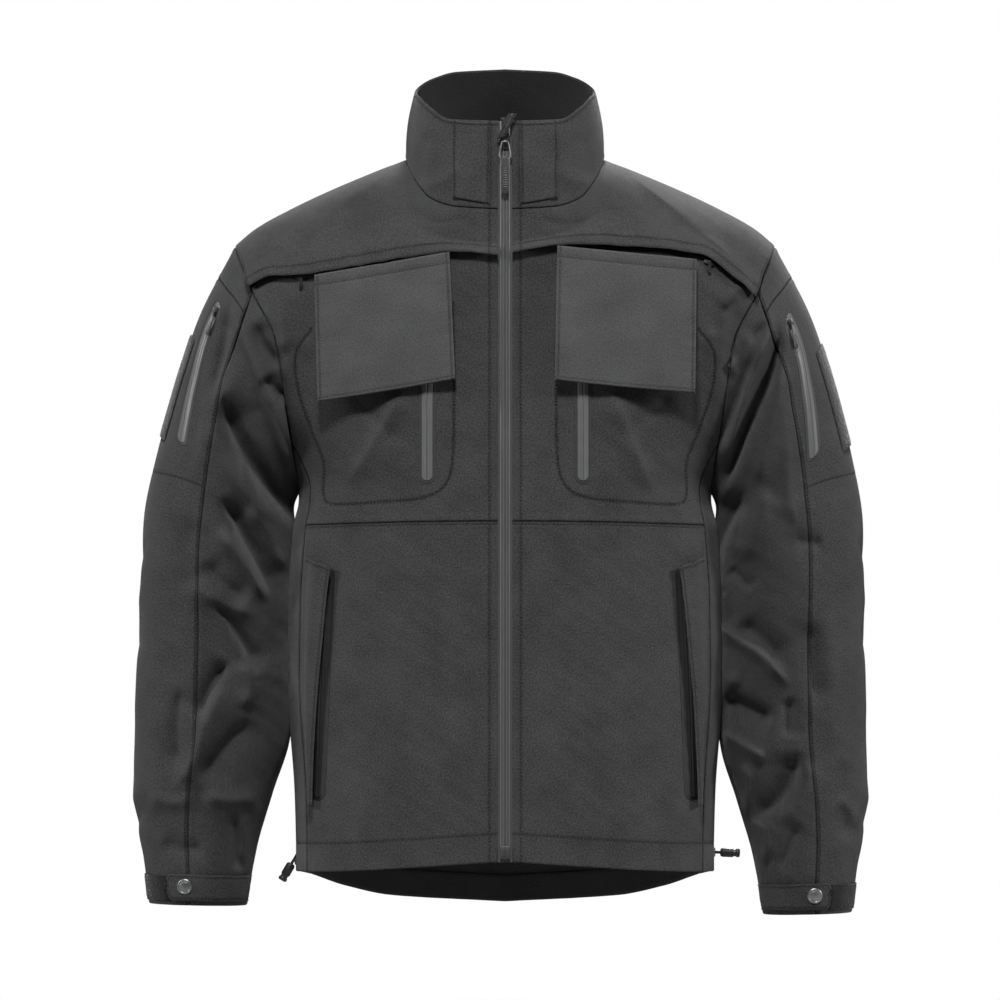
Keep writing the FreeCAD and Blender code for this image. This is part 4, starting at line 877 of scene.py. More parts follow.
class Material:
    """A node material with a principled shader, and short calls for the nodes that it needs."""

    def __init__(self, name, roughness, specular=0.4, metallic=0.0, sheen=0.0, coat=0.0, coat_roughness=0.2):
        self.material = bpy.data.materials.new(name)
        self.material.use_nodes = True
        self.nodes = self.material.node_tree.nodes
        self.links = self.material.node_tree.links
        self.nodes.clear()
        self.out = self.nodes.new("ShaderNodeOutputMaterial")
        self.shader = self.nodes.new("ShaderNodeBsdfPrincipled")
        self.links.new(self.shader.outputs[0], self.out.inputs["Surface"])
        for socket, value in (("Roughness", roughness), ("Specular IOR Level", specular),
                              ("Metallic", metallic), ("Sheen Weight", sheen), ("Sheen Roughness", 0.45),
                              ("Coat Weight", coat), ("Coat Roughness", coat_roughness)):
            self.shader.inputs[socket].default_value = value
        self.bump_from = None

    def node(self, kind, inputs=(), **settings):
        made = self.nodes.new("ShaderNode" + kind)
        for field, value in settings.items():
            setattr(made, field, value)
        for socket, value in dict(inputs).items():
            if isinstance(value, bpy.types.NodeSocket):
                self.links.new(value, made.inputs[socket])
            else:
                made.inputs[socket].default_value = value
        return made

    def place(self):
        """Where a point is on the object, in metres."""
        return self.node("TexCoord").outputs["Object"]

    def weave(self):
        """Where a point is on its own sheet of cloth, in metres."""
        return self.node("Attribute", attribute_name="weave").outputs["Vector"]

    # the painted shade of seam and stitch grooves, from 0 to 1
    def seam(self):
        return self.node("Attribute", attribute_name="seam").outputs["Fac"]

    def noise(self, scale, detail=2.0, roughness=0.5, where=None):
        made = self.node("TexNoise", {"Vector": where or self.place(), "Scale": scale, "Detail": detail,
                                      "Roughness": roughness})
        return made.outputs["Fac"]

    def math(self, operation, a, b=0.0, clamp=False):
        return self.node("Math", {0: a, 1: b}, operation=operation, use_clamp=clamp).outputs[0]

    def ranged(self, value, low, high, to_low=0.0, to_high=1.0):
        inputs = {"Value": value, "From Min": low, "From Max": high, "To Min": to_low, "To Max": to_high}
        return self.node("MapRange", inputs).outputs["Result"]

    def ridges(self, where, axis, pitch):
        """A sine wave along one axis of a position."""
        part = self.node("SeparateXYZ", {"Vector": where}).outputs[axis]
        return self.math("SINE", self.math("MULTIPLY", part, 2 * math.pi / pitch))

    def colour(self, factor, dark, light):
        mixed = self.node("Mix", {"Factor": factor}, data_type="RGBA")
        mixed.inputs[6].default_value = (*dark, 1)
        mixed.inputs[7].default_value = (*light, 1)
        self.links.new(mixed.outputs[2], self.shader.inputs["Base Color"])

    def roughness(self, factor, low, high):
        self.links.new(self.ranged(factor, 0, 1, low, high), self.shader.inputs["Roughness"])

    def bump(self, height, distance, strength=1.0):
        """Adds a layer of bump; heights run from 0 to 1 over a distance in metres."""
        inputs = {"Height": height, "Distance": distance, "Strength": strength}
        if self.bump_from:
            inputs["Normal"] = self.bump_from
        self.bump_from = self.node("Bump", inputs).outputs["Normal"]
        self.links.new(self.bump_from, self.shader.inputs["Normal"])


def grey(level):
    """A near-neutral charcoal of a given linear brightness, a little cool."""
    return (level * 0.99, level, level * 1.015)


def woven(name, level, pitch=0.0011, contrast=0.8, sheen=0.12, bump=0.00025, roughness=0.86, grain=560):
    """Matt woven cloth: a fine grain of threads, slow unevenness, and painted shade along the seam and stitch
    grooves.
    """
    m = Material(name, roughness, specular=0.25, sheen=sheen)
    weave = m.weave()
    fine = m.noise(grain, 2, 0.6, weave)
    slow = m.noise(24, 4, 0.6)
    threads = m.math("MULTIPLY", m.ridges(weave, 0, pitch), m.ridges(weave, 1, pitch))
    shade = m.math("ADD", m.math("MULTIPLY", fine, 0.7), m.math("MULTIPLY", slow, 0.3))
    # painted shade: darker in the seam and stitch grooves
    shade = m.math("SUBTRACT", shade, m.math("MULTIPLY", m.seam(), 0.45), clamp=True)
    m.colour(m.ranged(shade, 0.25, 0.75), grey(level * (1 - contrast)), grey(level * (1 + contrast)))
    m.roughness(slow, roughness - 0.08, roughness + 0.06)
    m.bump(m.math("ADD", m.math("MULTIPLY", threads, 0.25), fine), bump)
    m.bump(m.noise(160, 2, 0.5), 0.0002, 0.5)
    return m.material


def laminate(name, level):
    """Film-laminated zip tape: smooth and semi-gloss."""
    m = Material(name, 0.4, specular=0.5, coat=0.15, coat_roughness=0.25)
    m.colour(m.noise(45, 3, 0.55), grey(level * 0.88), grey(level * 1.12))
    m.roughness(m.noise(220, 2), 0.36, 0.5)
    m.bump(m.noise(700, 2, 0.6), 0.00005)
    return m.material


def moulded(name, level, roughness=0.45):
    """Moulded plastic or rubber with a faint eroded texture."""
    m = Material(name, roughness, specular=0.45)
    fine, slow = m.noise(900, 2), m.noise(60, 3)
    m.colour(slow, grey(level * 0.85), grey(level * 1.15))
    m.roughness(fine, roughness - 0.06, roughness + 0.1)
    m.bump(fine, 0.00004)
    return m.material


def metal(name, level, roughness=0.38):
    """Dark coated metal, rubbed a little brighter in places."""
    m = Material(name, roughness, specular=0.5, metallic=0.75)
    worn = m.noise(130, 4, 0.6)
    m.colour(m.ranged(worn, 0.35, 0.75), grey(level * 0.8), grey(level * 1.35))
    m.roughness(worn, roughness - 0.08, roughness + 0.12)
    m.bump(m.noise(1200, 2), 0.00003)
    return m.material


def pile(name, level):
    """Loop pile: a dense field of tiny curls."""
    m = Material(name, 0.95, specular=0.15, sheen=0.3)
    curls = m.node("TexVoronoi", {"Vector": m.place(), "Scale": 620.0, "Randomness": 1.0}).outputs["Distance"]
    clumps = m.noise(260, 3, 0.6)
    shade = m.math("ADD", m.math("MULTIPLY", curls, 0.6), m.math("MULTIPLY", clumps, 0.5), clamp=True)
    m.colour(shade, grey(level * 0.45), grey(level * 1.5))
    m.bump(curls, 0.0005, 0.9)
    m.bump(clumps, 0.0006, 0.7)
    return m.material


def netting(name, level):
    """Fine open-looking mesh lining."""
    m = Material(name, 0.8, specular=0.2, sheen=0.1)
    cells = m.node("TexVoronoi", {"Vector": m.weave(), "Scale": 420.0, "Randomness": 0.12})
    holes = cells.outputs["Distance"]
    m.colour(m.ranged(holes, 0.1, 0.55), grey(level * 0.35), grey(level * 1.2))
    m.bump(holes, 0.0003, 0.8)
    return m.material


def strap(name, level):
    """Narrow woven strap with a ribbed face."""
    m = Material(name, 0.75, specular=0.3, sheen=0.1)
    ribs = m.ranged(m.ridges(m.place(), 0, 0.0014), -1, 1)
    m.colour(m.math("ADD", m.math("MULTIPLY", ribs, 0.5), m.noise(500, 2), clamp=True),
             grey(level * 0.6), grey(level * 1.2))
    m.bump(ribs, 0.0002, 0.8)
    return m.material


SHELL = woven("shell", 0.0465)
LINING = woven("lining", 0.03, pitch=0.0016, contrast=0.4)
PANEL = woven("panel", 0.076, pitch=0.0009, contrast=0.6, sheen=0.05, roughness=0.7, bump=0.00016, grain=640)
MESH_LINING = netting("mesh_lining", 0.035)
TAPE = laminate("zip_laminate", 0.125)
MAIN_TAPE = laminate("main_zip_laminate", 0.11)
FILM = moulded("weld_film", 0.036, 0.55)
# near-black zip tape: real tape, darkened as painted shadow under the yoke's edge and beside the hand-pocket
# welts
ZIP_TAPE_PAINTED_SHADE = moulded("yoke_zip_tape", 0.02, 0.6)
# the collar's lining: its own dark tone, darkened further below the body's lining as painted shade inside the
# collar
SHADED_COLLAR_LINING = woven("collar_lining", 0.014, contrast=0.5)
COIL = moulded("zip_coil", 0.03, 0.5)
METAL = metal("zip_metal", 0.06)
WIRE = metal("zip_wire", 0.2, 0.36)
RUBBER = moulded("pull_rubber", 0.055, 0.34)
SNAP = metal("snap_metal", 0.26, 0.34)
PILE = pile("loop_pile", 0.036)
CUFF_PILE = pile("cuff_loop_pile", 0.012)
PLASTIC = moulded("lock_plastic", 0.018, 0.42)
BUTTON = moulded("button_plastic", 0.03, 0.4)
WEBBING = strap("webbing", 0.03)
THREAD = woven("thread", 0.036, contrast=0.1, sheen=0.2, roughness=0.6)

# ---------------------------------------------------------------- cloth of the torso

PANEL_STEP, BACK_STEP, SLEEVE_STEP = 2.4, 3.2, 2.8
TIGHT = 0.12      # the sliver left between two panels that are sewn together
seams = Shape()   # every stitch on the jacket's own cloth


# the edge of the pocket bag behind each chest, as (distance from the middle, height)
CHEST_POCKET = [(52, -150), (51, -210), (51, -290), (57, -326), (78, -342), (124, -347), (170, -349),
                (180, -340), (180, -308), (192, -276), (205, -236), (207, -200), (192, -176)]
POCKET_EDGE = smooth_line(CHEST_POCKET, 160)


def pocket_groove(points):
    """How near points are to the pocket's edge, from 0 to 1."""
    flat = np.stack([np.abs(points[..., 0]), points[..., 2]], axis=-1).reshape(-1, 1, 2)
    away = np.concatenate([np.linalg.norm(part - POCKET_EDGE[None], axis=2).min(axis=1)
                           for part in np.array_split(flat, 40)])
    return np.exp(-(away / 1.5) ** 2).reshape(points.shape[:-1])


def press(sheet, groove):
    """Presses a line into a sheet and paints shade along it."""
    for skin in (sheet.outer, sheet.inner):
        skin -= sheet.normals * (0.5 * groove)[..., None]
    # painted shade along the pressed line
    sheet.seam = np.maximum(sheet.seam, 0.7 * groove)


def cloth_piece(name, sheets, nodes, materials=(SHELL, LINING), slots=(0, 1), slot="shell_cloth", body=BODY,
                stitches=seams):
    """One piece of one or more sheets. Stitches go to a Shape, into the piece itself ("own") or nowhere."""
    shape = Shape()
    for sheet in sheets:
        sheet.add_to(shape, *slots)
        if stitches:
            sheet.sew_onto(shape if stitches == "own" else stitches)
    return shape.piece(name, materials, slot, nodes, body)


def waist_z(across):
    return WAIST_Z - 4 * across * across


def lower_front(side):
    def surface(u, v):
        across = 1 - (1 - u) ** 1.5
        z = mix(hem_z(across * SIDE_SEAM), waist_z(across) - TIGHT, v)
        wide = seam_half_width(z, SIDE_SEAM) - TIGHT
        return torso_point(side * mix(FRONT_EDGE_X, wide, across), z)
    return surface


def chest(side):
    tuck = 11

    def surface(u, v):
        across = 1 - (1 - u) ** 1.4
        widest = along(ARMHOLE, yoke_edge(side, 250))
        top = yoke_edge(side, mix(FRONT_EDGE_X, widest, across)) + tuck * (1 - u * u)
        z = mix(waist_z(across), top, v)
        wide = seam_half_width(z, SIDE_SEAM) - TIGHT
        return torso_point(side * mix(FRONT_EDGE_X, wide, across), z)
    return surface


def shoulder(side, edge, neck, back=False):
    """From the shoulder ridge and the neck seam down to an edge; v runs down, u outwards."""
    inner = 0 if back else FRONT_EDGE_X

    def surface(u, v):
        top_x = mix(inner, TIP_X - TIGHT, u)
        low_x = mix(inner, along(ARMHOLE, edge(TIP_X - 20)) - 1, u)
        top = np.where(top_x < NECK_HALF, along(neck, top_x) - TIGHT, along(RIDGE, top_x))
        spacing = mix(1, 2, ease((top_x - 40) / 60))
        z = mix(top, edge(low_x), v ** spacing)
        outer = along(ARMHOLE, mix(TIP_Z, edge(TIP_X - 20), v * v)) - TIGHT
        return torso_point(side * mix(inner, outer, u), z, back)
    return surface


def yoke_lift(u, v):
    return 0.2 + YOKE_FLARE * ease((v - 0.72) / 0.28)


def back_sheet(u, v):
    x = 2 * u - 1
    z = mix(hem_z(180 - np.abs(x) * (180 - BACK_SEAM)), BACK_YOKE_Z - TIGHT, v)
    wide = seam_half_width(z, BACK_SEAM) - TIGHT
    return torso_point(wide * np.copysign(1 - (1 - np.abs(x)) ** 1.4, x), z, back=True)


def back_yoke_sheet(u, v):
    x = 2 * u - 1
    half = shoulder(1, lambda at: BACK_YOKE_Z + 0 * at, NECK_BACK, back=True)
    point = half(np.abs(x), v)
    return xyz(np.copysign(point[..., 0], x), point[..., 1], point[..., 2])


def side_sheet(side):
    def surface(u, v):
        degrees = mix(SIDE_SEAM + 0.04, BACK_SEAM - 0.04, u)
        return ring_point(degrees, mix(hem_z(degrees), armhole_z(degrees) - TIGHT, v), side)
    return surface


# distances of the lines of stitches from an edge
HEM_STITCH, FRONT_STITCH, TOP_STITCH, RIM_STITCH, YOKE_STITCH = 28, 8.5, 2.4, 4.0, 10.5


def build_torso():
    for name, side in SIDES:
        low = Sheet(lower_front(side), PANEL_STEP, fine=(160, 200), edges={"start": "fold", "low": "fold"},
                    stitched={"start": (FRONT_STITCH,), "low": (HEM_STITCH,), "high": (TOP_STITCH,)})
        cloth_piece(f"lower_front_{name}_cloth", [low], [f"lower_front_{name}"])

        upper = Sheet(chest(side), 1.5, fine=(160, 180), edges={"start": "fold", "high": "plain"},
                      stitched={"start": (FRONT_STITCH,)})
        press(upper, pocket_groove(upper.points))
        cloth_piece(f"chest_{name}_cloth", [upper], [f"chest_{name}"])

        yoke = Sheet(shoulder(side, lambda x, s=side: yoke_edge(s, x), NECK_FRONT), PANEL_STEP,
                     fine=(200, 160), lift=yoke_lift, thickness=2.2,
                     edges={"start": "fold", "high": "fold", "low": "plain"},
                     stitched={"start": (FRONT_STITCH,), "high": (YOKE_STITCH,), "end": (2.2,)})
        cloth_piece(f"front_yoke_{name}_cloth", [yoke], [f"front_yoke_{name}"])

        flank = Sheet(side_sheet(side), BACK_STEP, edges={"low": "fold"}, stitched={"low": (HEM_STITCH,)})
        cloth_piece(f"side_panel_{name}_cloth", [flank], [f"side_panel_{name}"])

    back = Sheet(back_sheet, BACK_STEP, fine=(240, 180), edges={"low": "fold"},
                 stitched={"low": (HEM_STITCH,), "start": (TOP_STITCH,), "end": (TOP_STITCH,)})
    cloth_piece("back_panel_cloth", [back], ["back_panel"])
    top = Sheet(back_yoke_sheet, BACK_STEP, fine=(280, 160), edges={"low": "plain"},
                stitched={"high": (TOP_STITCH, 8.0), "start": (2.2,), "end": (2.2,)})
    cloth_piece("back_yoke_cloth", [top], ["back_yoke"])


# ---------------------------------------------------------------- sleeves and collar

ARMHOLE_GAP = 0.006
# the top and foot of the sleeve pocket's panel, as (turn, place)
POCKET_TOP = [(-90, 0.7), (0, 0.5), (30, 0.42), (52, 0.3), (90, 0.2)]
POCKET_FOOT = [(-90, 3.9), (0, 4.3), (30, 4.2), (60, 3.95), (90, 3.6)]
ARMHOLE_LINE, CUFF_LINE = [(-90, ARMHOLE_GAP), (90, ARMHOLE_GAP)], [(-90, LAST), (90, LAST)]
# the outer sleeve's three panels: upper and lower line, rows of points, edges, stitched lines
OUTER_PANELS = [
    (ARMHOLE_LINE, POCKET_TOP, 60, {}, {"end": (TOP_STITCH,)}),
    (POCKET_TOP, POCKET_FOOT, 120, {"high": "plain"}, {"end": (TOP_STITCH,)}),
    (POCKET_FOOT, CUFF_LINE, 260, {"low": "plain", "high": "fold"},
     {"low": (TOP_STITCH,), "end": (TOP_STITCH,), "high": (10,)}),
]


def outer_sleeve(side, upper, lower):
    """The front and outside of a sleeve between two lines round it."""
    def surface(u, v):
        turn = mix(-80, 80, u)
        edge = along(SLEEVE_SEAM, mix(along(upper, turn), along(lower, turn), v)) - 0.05
        turn = mix(-edge, edge, u)
        return sleeve_point(mix(along(upper, turn), along(lower, turn), v), turn, side)
    return surface


def inner_sleeve(side):
    def surface(u, v):
        place = mix(ARMHOLE_GAP, LAST, v)
        edge = along(SLEEVE_SEAM, place) + 0.05
        return sleeve_point(place, mix(edge, 360 - edge, u), side)
    return surface


def build_sleeves():
    for name, side in SIDES:
        on_sleeve = {"core": sleeve_core(side), "zone": "sleeve", "side": side}
        outer = [Sheet(outer_sleeve(side, upper, lower), SLEEVE_STEP, fine=(150, rows), edges=edges,
                       stitched=stitched, **on_sleeve)
                 for upper, lower, rows, edges, stitched in OUTER_PANELS]
        cloth_piece(f"sleeve_outer_{name}_cloth", outer, [f"sleeve_outer_{name}"])
        inner = Sheet(inner_sleeve(side), SLEEVE_STEP, fine=(170, 320), edges={"high": "fold"},
                      stitched={"high": (10,)}, **on_sleeve)
        cloth_piece(f"sleeve_inner_{name}_cloth", [inner], [f"sleeve_inner_{name}"])


def around(start, u):
    """Angle round the neck: from the wearer's right front edge, by the back, to the left front edge."""
    turn = mix(start, 360 - start, u)
    return np.where(turn < 180, -turn, 360 - turn)


def collar_guard(low, high):
    """A patch beside the front edge, between two angles; its outer edge and its foot stand up."""
    left = low > 0

    def surface(u, v):
        outer = u if left else 1 - u
        return collar_point(mix(low, high, u), mix(0.06 + 0.05 * outer, 0.975, v))

    def stand(u, v):
        outer = u if left else 1 - u
        return 1.35 + 1.7 * ease((outer - 0.7) / 0.3) + 0.5 * ease((0.16 - v) / 0.16)
    return Sheet(surface, 1.6, zone="collar", lift=stand, thickness=1.1, fine=(80, 80), edges=FOLDED,
                 stitched={"start": (2.0,), "end": (2.0,), "high": (2.4,)})


def build_collar():
    edge = math.degrees(math.asin(FRONT_EDGE_X / NECK_HALF))
    behind_tape = edge + 4.5

    def outer(u, v):
        return collar_point(around(edge, u), mix(0.002, 1, v))

    def lining(u, v):
        return collar_point(around(behind_tape, u), mix(0.002, 0.985, v))

    sheet = Sheet(outer, PANEL_STEP, zone="collar", fine=(320, 60),
                  edges={"start": "fold", "end": "fold", "high": "fold"},
                  stitched={"start": (FRONT_STITCH,), "end": (FRONT_STITCH,), "high": (RIM_STITCH,)})
    cloth_piece("collar_cloth", [sheet], ["collar_outer"])
    sheet = Sheet(lining, PANEL_STEP, zone="collar", fine=(320, 60), lift=-CLOTH - 0.25, thickness=1.0,
                  edges={"start": "fold", "end": "fold", "high": "plain"})
    # the lining inside the collar, in its colour darkened by painted shade
    cloth_piece("collar_lining_cloth", [sheet], ["collar_lining"], [SHADED_COLLAR_LINING], (0, 0))
    cloth_piece("collar_guard_patches", [collar_guard(-31, -9), collar_guard(9, 31)], ["collar_guards"],
                [SHELL], (0, 0))


# ---------------------------------------------------------------- main zip

FRONT_LENGTH = math.hypot(FRONT_TOP_Z - FRONT_HEM_Z, FRONT_HEM_DEPTH - FRONT_TOP_DEPTH)
FRONT = frame_on((0, MID_Y - FRONT_TOP_DEPTH, FRONT_TOP_Z), (0, MID_Y - FRONT_HEM_DEPTH, FRONT_HEM_Z),
                 (0, -1, 0))
TAPE_Y, COIL_Y = 2.0, 2.9
# a tape's face from its inner edge outwards: the coil telegraphs through, then a soft crease
TAPE_FACE = [(0.3, 0.6), (0.8, 0.0), (1.7, -0.35), (2.6, 0.0), (3.3, 0.6), (4.2, -0.2), (4.9, -0.8),
             (5.6, -0.2), (6.6, 0.3), (9, 0.2), (12.2, 0.2)]
TAPE_ROWS = 180
TOOTH_PITCH = 1.6
SLIDER_TOP, PULL_DROP = -14, 6.5
WIRE_RADIUS, WIRE_DROP = 0.75, 17


def build_main_tapes():
    shape = Shape()
    for _, side in SIDES:
        rings = []
        for k in range(TAPE_ROWS + 1):
            z = -FRONT_LENGTH * k / TAPE_ROWS
            wander = 0.18 * math.sin(z / 23 + side) + 0.12 * math.sin(z / 9.5)
            face = [(x, TAPE_Y + y + 0.1 + wander * min(1, x / 5), z) for x, y in TAPE_FACE]
            back = [(12.2, TAPE_Y + 0.75, z), (0.4, TAPE_Y + 0.75, z)]
            ring = np.array(face + back) * (side, 1, 1)
            rings.append(placed(FRONT, ring[::side]))
        loft(shape, rings)
    shape.piece("main_zip_tape_pair", [MAIN_TAPE], "zip_laminate", ["main_zip_tapes"], sharp=50)


def build_main_coil():
    """Rows of coil turns behind the tapes, sewn down along both sides."""
    shape = Shape()
    tooth = Shape()
    tube(tooth, [(-2.1, 0, -0.35), (-1.2, -0.25, 0), (0, -0.3, 0.1), (1.2, -0.25, 0), (2.1, 0, 0.35)], 0.55,
         sides=6, flat=1.0, facing=(0, -1, 0))
    points, faces = np.vstack(tooth.points), tooth.faces
    for k in range(int((FRONT_LENGTH - 12) / TOOTH_PITCH)):
        z = -4 - k * TOOTH_PITCH
        shape.add(placed(FRONT, points + (0, COIL_Y + 0.75, z)), faces)
    shape.piece("main_zip_coil_turns", [COIL], "zip_coil", ["main_zip_coil"])


def build_main_stop():
    """The retaining box at the foot of the zip, with the pin's seat beside it."""
    shape = Shape()
    foot = moved(FRONT, 0, 1.8, -FRONT_LENGTH + 3)
    slab(shape, foot, rounded([(-5, 0), (5, 0), (5, 13), (-5, 13)], 1.6), -3.0, 0, 0.6)
    slab(shape, foot, rounded([(-3.6, 1.5), (-0.8, 1.5), (-0.8, 11.5), (-3.6, 11.5)], 0.6), -3.4, -2.6, 0.3)
    slab(shape, foot, rounded([(0.8, 1.5), (3.6, 1.5), (3.6, 11.5), (0.8, 11.5)], 0.6), -3.4, -2.6, 0.3)
    shape.piece("main_zip_stop_box", [RUBBER], "pull_rubber", ["main_zip_stop"], sharp=45)


def slider_outline(width, length):
    half = [(0.36, -1), (0.5, -0.4), (0.5, -0.15), (0.3, 0)]
    corners = [(-0.36, -1), *half, *((-x, z) for x, z in half[:0:-1])]
    return rounded([(x * width, z * length) for x, z in corners], width * 0.09, 3)


def slider_body(shape, place, width, length, front, back):
    """A slider's face: a plate with a raised spine."""
    slab(shape, place, slider_outline(width, length), front, back, 0.35)
    spine = rounded([(-0.16 * width, -0.86 * length), (0.16 * width, -0.86 * length),
                     (0.2 * width, -0.08 * length), (-0.2 * width, -0.08 * length)], 0.6, 2)
    slab(shape, place, spine, front - 0.35, front + 0.2, 0.25)


def build_main_slider():
    top = moved(FRONT, 0, 0, SLIDER_TOP)
    shape = Shape()
    slider_body(shape, top, 10.6, 14, 0.4, 1.7)
    slab(shape, top, slider_outline(10.6, 14), 4.6, 5.9, 0.35)
    arch = [(0.5, -10.2), (-1.2, -9.6), (-2.0, -8.4), (-2.1, -6.5), (-2.0, -4.8), (-1.2, -3.6), (0.5, -3.0)]
    tube(shape, placed(top, [(0, y, z) for y, z in arch]), 1.15, sides=10, flat=0.7,
         facing=placed(top, (1, 0, 0)) - placed(top, (0, 0, 0)))
    shape.piece("main_slider_body", [METAL], "zip_metal", ["main_slider"], "main_slider", sharp=45)

    pivot = moved(top, 0, -3.15, -PULL_DROP)
    shape = Shape()
    corners = rounded([(-3, 0), (3, 0), (6, -WIRE_DROP), (-6, -WIRE_DROP)], (1.4, 1.4, 2.6, 2.6), 5)
    path = [(x, 0, z) for x, z in corners]
    tube(shape, placed(pivot, path), WIRE_RADIUS, sides=10, closed=True, slots=1)
    tab = rounded([(-2.6, -15), (2.6, -15), (4.2, -24), (3.8, -49), (2.1, -52), (-2.1, -52), (-3.8, -49),
                   (-4.2, -24)], (1.5, 1.5, 4, 2, 1.2, 1.2, 2, 4), 4)
    slab(shape, pivot, tab, -1.1, 1.1, 0.55)
    for k in range(9):
        z = -27.5 - 2.3 * k
        half = 2.9 - 0.03 * k
        rib = rounded([(-half, z), (half, z), (half, z + 1.1), (-half, z + 1.1)], 0.5, 2)
        slab(shape, pivot, rib, -1.45, -0.9, 0.25)
    shape.piece("main_pull_tab_and_wire", [RUBBER, WIRE], "pull_rubber", ["main_pull"], "main_pull", sharp=50)


def build_storm_flap():
    def surface(u, v):
        return placed(FRONT, xyz(mix(-16, 16, u), COIL_Y + 5, mix(-FRONT_LENGTH + 2, -6, v)))
    sheet = Sheet(surface, (2.4, 6), zone="", thickness=1.4, fine=(40, 120), edges=FOLDED,
                  stitched={"start": (2.4,), "end": (2.4,)})
    cloth_piece("storm_flap_cloth", [sheet], ["storm_flap"], stitches="own")


# the folded tabs over the top of the zip: the tip's and the foot's (x, z), width, depth
GARAGE_FOLDS = [((7.5, 7.0), (-4.2, -17.5), 9.6, -7.4), ((-1.5, 3.5), (1.0, -13.0), 7.0, -6.0)]


def garage_fold(top, foot, width, depth):
    def surface(u, v):
        bow = 1.3 * np.sin(np.pi * v) + 0.9 * np.cos(np.pi * (u - 0.5)) - 1.6 * (1 - v)
        slant = 2.4 * (u - 0.5) * (1 - v)
        x, z = (mix(foot[i], top[i], v) for i in (0, 1))
        return placed(FRONT, xyz(x + (u - 0.5) * width, depth - bow + 1.4, z + slant))
    return Sheet(surface, 0.9, zone="", thickness=1.2, fine=(40, 80), edges=FOLDED,
                 stitched={"start": (1.5,), "end": (1.5,)})


def build_garage():
    """One tab slants across the top of the zip, the other tucks behind it."""
    cloth_piece("zip_garage_folds", [garage_fold(*fold) for fold in GARAGE_FOLDS], ["zip_garage"],
                [SHELL], (0, 0), stitches="own")


# ---------------------------------------------------------------- pocket zips

POCKET_SLIDER, POCKET_PULL = (6.6, 10), (4.6, 24)


def rounded_span(u, v, low, high, width):
    """Heights along a strip whose two ends are half circles."""
    inset = width / 2 * (1 - np.sqrt(np.maximum(0, 1 - (2 * u - 1) ** 2)))
    return mix(low + inset, high - inset, v)


def coil_profile(u, v):
    """How a closed laminated zip stands up across its width: two ribs with a slit between them."""
    x = np.abs(2 * u - 1)
    ribs = 0.55 * np.exp(-((x - 0.24) / 0.17) ** 2)
    slit = -0.5 * np.exp(-(x / 0.07) ** 2)
    return 0.75 + ribs + slit - 0.35 * np.exp(-((x - 1) / 0.12) ** 2)


def zip_strip(shape, point, length, width, zone, side, core):
    """A laminated zip on the cloth with the weld film round it. point(x, z): x across and z down it."""
    film, tape = (1, width + 5.5, 3.0, 0.35, 0.5), (0, width, 0, coil_profile, 0.7)
    for slot, wide, over, lift, thick in (film, tape):
        def surface(u, v, wide=wide, over=over):
            return point((u - 0.5) * wide, rounded_span(u, v, -length - over, over * 0.3, wide))
        sheet = Sheet(surface, (0.55 if slot == 0 else 2.0, 2.6), core=core, zone=zone, side=side, lift=lift,
                      thickness=thick, fine=(60, 160), edges=PLAIN)
        sheet.add_to(shape, slot, slot)


def pocket_pull(shape, place, top, slot=1):
    """A moulded cord pull: a thin neck, a grip with ribs, and a small eye."""
    wide, long = POCKET_PULL
    half = [(0.3, 0.6), (0.36, -8), (0.5, -long + 3), (0.3, -long)]
    corners = [(-0.3, 0.6), *half, *((-x, z) for x, z in half[:0:-1])]
    outline = rounded([(x * wide, z) for x, z in corners], 0.8, 3)
    place = moved(place, 0, -3.2, top)
    slab(shape, place, outline, -1.1, 0, 0.35, slot)
    for k in range(5):
        z = -11 - 2.2 * k
        rib = rounded([(-1.6, z), (1.6, z), (1.6, z + 1), (-1.6, z + 1)], 0.4, 2)
        slab(shape, place, rib, -1.4, -1.0, 0.2, slot)
    ring = [(1.3 * math.cos(a), 0.1, 1.2 + 1.3 * math.sin(a)) for a in np.linspace(0, 2 * math.pi, 16, False)]
    tube(shape, placed(place, ring), 0.45, sides=8, closed=True, slots=0)


def resting_frame(point, top, bottom, facing):
    """A straight frame that clears a curved surface, moved outwards until nothing stands through it."""
    a, b = point(*top), point(*bottom)
    frame = frame_on(a, b, facing)
    t = np.linspace(0, 1, 21)[:, None]
    shift = np.array((-5, 0, 5))[None]
    spots = point(mix(top[0], bottom[0], t) + shift, mix(top[1], bottom[1], t) + 0 * shift)
    highest = min(0, ((spots - frame[0]) @ frame[1][1]).min())
    return moved(frame, 0, highest, 0)


def on_line(point, top, bottom, scale):
    """Places beside a line on a surface: x millimetres across it, z millimetres down it."""
    length = np.linalg.norm(point(*top) - point(*bottom))

    def spot(x, z):
        t = -z / length
        return point(mix(top[0], bottom[0], t) + x * scale, mix(top[1], bottom[1], t))
    return spot


CHEST_ZIP = {side: ((77, -112), (77, -326)) for side in (-1, 1)}
HAND_ZIP = {side: ((176, -412), (186, -640)) for side in (-1, 1)}
SLEEVE_ZIP = {-1: ((35, 0.62), (46, 3.42)), 1: ((44, 0.65), (63, 3.45))}      # (turn, place)


